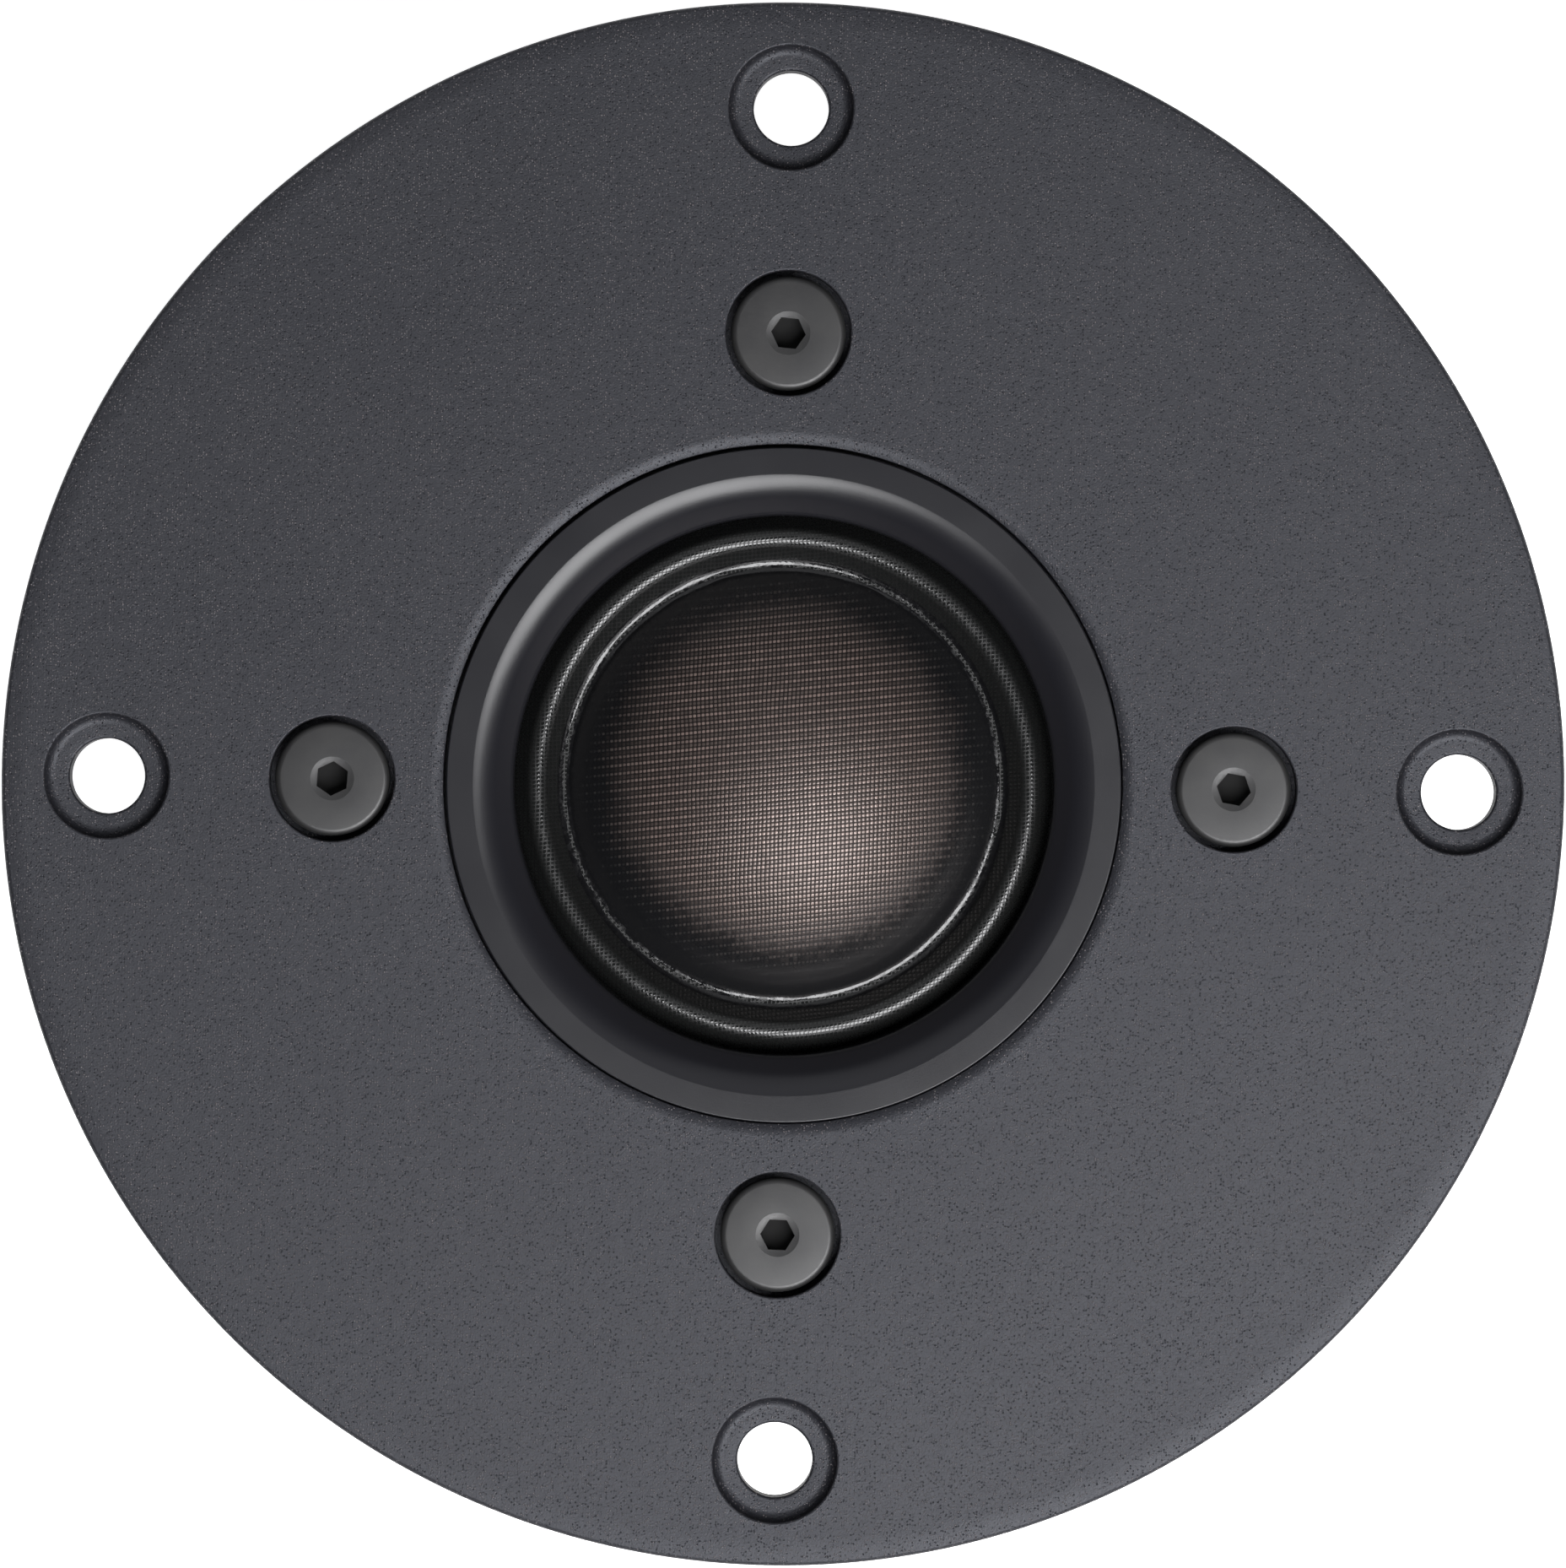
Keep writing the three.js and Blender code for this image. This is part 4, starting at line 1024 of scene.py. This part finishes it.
def terminal_block():
    """A moulded block with blade slots, screw wells and recesses, its back hollowed to fit the motor."""
    low, high = box_mm("terminal_block")
    body = box_object("terminal_block_body", low, (high.x, BLOCK_BACK_Y, high.z), MOULDED, 0.6)
    tools = [cutter(straight_hole(BLOCK_SEAT_RADIUS, low.z - 1, high.z + 1), sides=ROUND_SIDES)]
    for node in BLADE_HOLE_RADII:
        blade_low, blade_high = box_mm(node)
        gap = BLADE_SLOT_CLEARANCE
        slot_low = (blade_low.x - gap, blade_low.y - gap, low.z - 1)
        slot_high = (blade_high.x + gap, blade_high.y + gap, high.z + 1)
        tools.append(box_object("slot", slot_low, slot_high))
    for node in ("terminal_screw_1", "terminal_screw_2"):
        middle = middle_of(node)
        well = cutter(filleted([
            (0, -1),
            (SCREW_WELL_RADIUS, -1),
            (SCREW_WELL_RADIUS, SCREW_WELL_DEPTH, 0.2),
            (SCREW_HOLE_RADIUS, SCREW_WELL_DEPTH),
            (SCREW_HOLE_RADIUS, SCREW_HOLE_DEPTH),
            (0, SCREW_HOLE_DEPTH),
        ]), sides=48)
        place_in_well = Matrix.Translation(Vector((middle.x, low.y, middle.z)) * MM)
        well.data.transform(place_in_well @ Matrix.Rotation(-math.pi / 2, 4, "X"))
        tools.append(well)
    foot_z = low.z + RECESS_MARGIN
    recesses = (
        (-1.1, 1.1, 0.5, high.z - RECESS_MARGIN),
        (low.x + 1.2, low.x + 6.2, 0.4, foot_z + 5),
        (high.x - 6.2, high.x - 1.2, 0.4, foot_z + 5),
    )
    for left, right, depth, top_z in recesses:
        near = (left, low.y - 1, foot_z)
        far = (right, low.y + depth, top_z)
        tools.append(box_object("recess", near, far, bevel=0.2))
    return even_shading(cut(body, tools))


def blade(node):
    """A flat blade with a chamfered tip, a wire hole and a small latching dimple."""
    low, high = box_mm(node)
    middle = (low.x + high.x) / 2
    profile = [
        (low.x, high.z),
        (low.x, low.z + BLADE_CHAMFER),
        (low.x + BLADE_CHAMFER, low.z),
        (high.x - BLADE_CHAMFER, low.z),
        (high.x, low.z + BLADE_CHAMFER),
        (high.x, high.z),
    ]
    bm = bmesh.new()
    front = bm.faces.new([bm.verts.new((x, low.y, z)) for x, z in profile])
    pushed = bmesh.ops.extrude_face_region(bm, geom=[front])["geom"]
    back = [item for item in pushed if isinstance(item, bmesh.types.BMVert)]
    bmesh.ops.translate(bm, vec=(0, high.y - low.y, 0), verts=back)
    round_edges(bm, BLADE_EDGE_ROUND)
    body = new_object(f"{node}_body", bm, BRASS)
    hole = cutter(straight_hole(BLADE_HOLE_RADII[node], -BLADE_REACH, BLADE_REACH), sides=40)
    dimple = cutter(filleted([(0, -0.25), (0.55, -0.05, 0.1), (0.55, 1), (0, 1)]), sides=32)
    turn = Matrix.Rotation(math.pi / 2, 4, "X")
    hole_at = Vector((middle, (low.y + high.y) / 2, BLADE_HOLE_Z))
    dimple_at = Vector((middle, low.y, BLADE_HOLE_Z + 3))
    hole.data.transform(Matrix.Translation(hole_at * MM) @ turn)
    dimple.data.transform(Matrix.Translation(dimple_at * MM) @ turn)
    return even_shading(cut(body, [hole, dimple]))


def lead(node):
    """A soft braided lead that runs out along -Y and bends down to the head of its terminal."""
    low, high = box_mm(node)
    x = (low.x + high.x) / 2
    run_z = high.z - LEAD_RADIUS
    end_y = low.y + LEAD_RADIUS
    start = Vector((x, high.y, run_z))
    bend_start = Vector((x, end_y + 1, run_z))
    corner = Vector((x, end_y, run_z))
    end = Vector((x, end_y, low.z))
    path = [start.lerp(bend_start, i / 40) for i in range(40)]
    for i in range(13):
        t = i / 12
        path.append(bend_start.lerp(corner, t).lerp(corner.lerp(end, t), t))
    bm = bmesh.new()
    rings = []
    for i, point in enumerate(path):
        ahead = (path[min(i + 1, len(path) - 1)] - path[max(i - 1, 0)]).normalized()
        across = Vector((1, 0, 0))
        up = across.cross(ahead)
        ring = []
        for k in range(LEAD_SIDES):
            angle = 2 * math.pi * k / LEAD_SIDES
            size = LEAD_RADIUS * (0.94 + 0.06 * math.cos(LEAD_STRANDS * angle + 1.3 * i))
            ring.append(bm.verts.new(point + across * size * math.cos(angle) + up * size * math.sin(angle)))
        rings.append(ring)
    for near, far in zip(rings, rings[1:]):
        for k in range(LEAD_SIDES):
            j = (k + 1) % LEAD_SIDES
            bm.faces.new((near[k], near[j], far[j], far[k]))
    bm.faces.new(rings[0])
    bm.faces.new(rings[-1])
    return new_object(f"{node}_braid", bm, COPPER, 60), start


place(terminal_block(), "motor", "moulded_black", "terminal_block")
for node in BLADE_HOLE_RADII:
    place(blade(node), "motor", "brass", node)
for node in ("terminal_screw_1", "terminal_screw_2"):
    screw = pan_screw(f"{node}_body", head_radius=1.9, head_height=1.3, shank_radius=0.95, shank_length=6.8)
    middle = middle_of(node)
    seat = Vector((middle.x, box_mm("terminal_block")[0].y + SCREW_WELL_DEPTH, middle.z))
    turn = Matrix.Rotation(-math.pi / 2, 4, "X") @ Matrix.Rotation(math.radians(30 + 3 * middle.x), 4, "Z")
    screw.data.transform(Matrix.Translation(seat * MM) @ turn)
    place(screw, "motor", "zinc_steel", node)
for node in ("lead_positive", "lead_negative"):
    braid, start = lead(node)
    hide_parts(node)
    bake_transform(braid, "diaphragm", "motor", start=start * MM, end=(start + Vector((0, -6, 0))) * MM)

HIDDEN_NODE_MATERIALS = {
    "carrier_ring": MOULDED,
    "coil_former": FILM,
    "coil_winding": COPPER,
    "copper_cap": COPPER,
    "pole_felt": FELT,
    "vent_foam": FOAM,
    "cup_felt": FELT,
    "locating_pin_1": STEEL,
    "locating_pin_2": STEEL,
}
for node, material in HIDDEN_NODE_MATERIALS.items():
    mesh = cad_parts[node].data
    mesh.materials.clear()
    mesh.materials.append(material)


# ---------------------------------------------------------------- stage, lights and camera

def studio():
    """A pale floor that curls up into a low round wall."""
    wall = arc(FLOOR_RADIUS, WALL_ROUND - FLOOR_GAP, WALL_ROUND, -90, 0, 12)
    bm = turned_bmesh([(0, -FLOOR_GAP), (FLOOR_RADIUS, -FLOOR_GAP), *wall], 96)
    material, tree, shader = new_material("studio_white", (0.8, 0.8, 0.8), 0.9, specular=0.1)
    where = place_node(tree)
    cloud = noise(tree, where, 60, detail=2)
    pale = mix_color(tree, cloud, (0.78, 0.78, 0.78), (0.82, 0.82, 0.82))
    tree.links.new(pale, shader.inputs["Base Color"])
    shader.inputs["Emission Color"].default_value = (1, 1, 1, 1)
    shader.inputs["Emission Strength"].default_value = 0.9
    floor = new_object("studio_floor", bm, material, 180)


def area_light(name, position, size, watts, color, shape="RECTANGLE"):
    """A soft light aimed at the middle of the front, its place and size in metres."""
    data = bpy.data.lights.new(name, "AREA")
    data.shape = shape
    data.size, data.size_y = size
    data.energy = watts
    data.color = color
    light = bpy.data.objects.new(name, data)
    bpy.context.scene.collection.objects.link(light)
    light.location = position
    target = Vector((0, 0, FRONT_Z * MM))
    light.rotation_euler = (target - light.location).to_track_quat("-Z", "Y").to_euler()


def lights():
    """A key light from the lower right, a fill from the top and a broad overhead."""
    key_tilt = math.radians(27.5)
    key_side = math.radians(-60)
    distance = 0.5
    across = math.sin(key_tilt) * distance
    key_at = (across * math.cos(key_side), across * math.sin(key_side), math.cos(key_tilt) * distance)
    area_light("key_softbox", key_at, size=(0.36, 0.27), watts=4.2, color=(0.985, 0.985, 1))
    area_light("fill_card", (-0.06, 0.36, 0.48), size=(0.5, 0.5), watts=0.45, color=(0.97, 0.98, 1))
    area_light(
        "overhead_disc", (0, 0.08, 1.0), size=(2.6, 2.6), watts=0.5, color=(0.98, 0.99, 1), shape="DISK",
    )
    world = bpy.data.worlds.new("studio_world")
    world.use_nodes = True
    background = world.node_tree.nodes["Background"]
    background.inputs["Color"].default_value = (0.9, 0.93, 1, 1)
    background.inputs["Strength"].default_value = 0.03
    bpy.context.scene.world = world


def camera():
    """Straight onto the front, with the flange filling the frame."""
    data = bpy.data.cameras.new("camera")
    data.sensor_width = 36
    data.sensor_fit = "AUTO"
    data.lens = data.sensor_width * CAMERA_DISTANCE / FRAME_WIDTH
    data.clip_start = 0.01
    data.clip_end = 20
    eye = bpy.data.objects.new("camera", data)
    bpy.context.scene.collection.objects.link(eye)
    eye.location = (0, 0, (FRONT_Z + CAMERA_DISTANCE) * MM)
    eye.rotation_euler = (0, 0, math.radians(PHOTO_ROLL_DEG))
    bpy.context.scene.camera = eye


studio()
lights()
camera()
bpy.context.scene.view_settings.view_transform = "Standard"
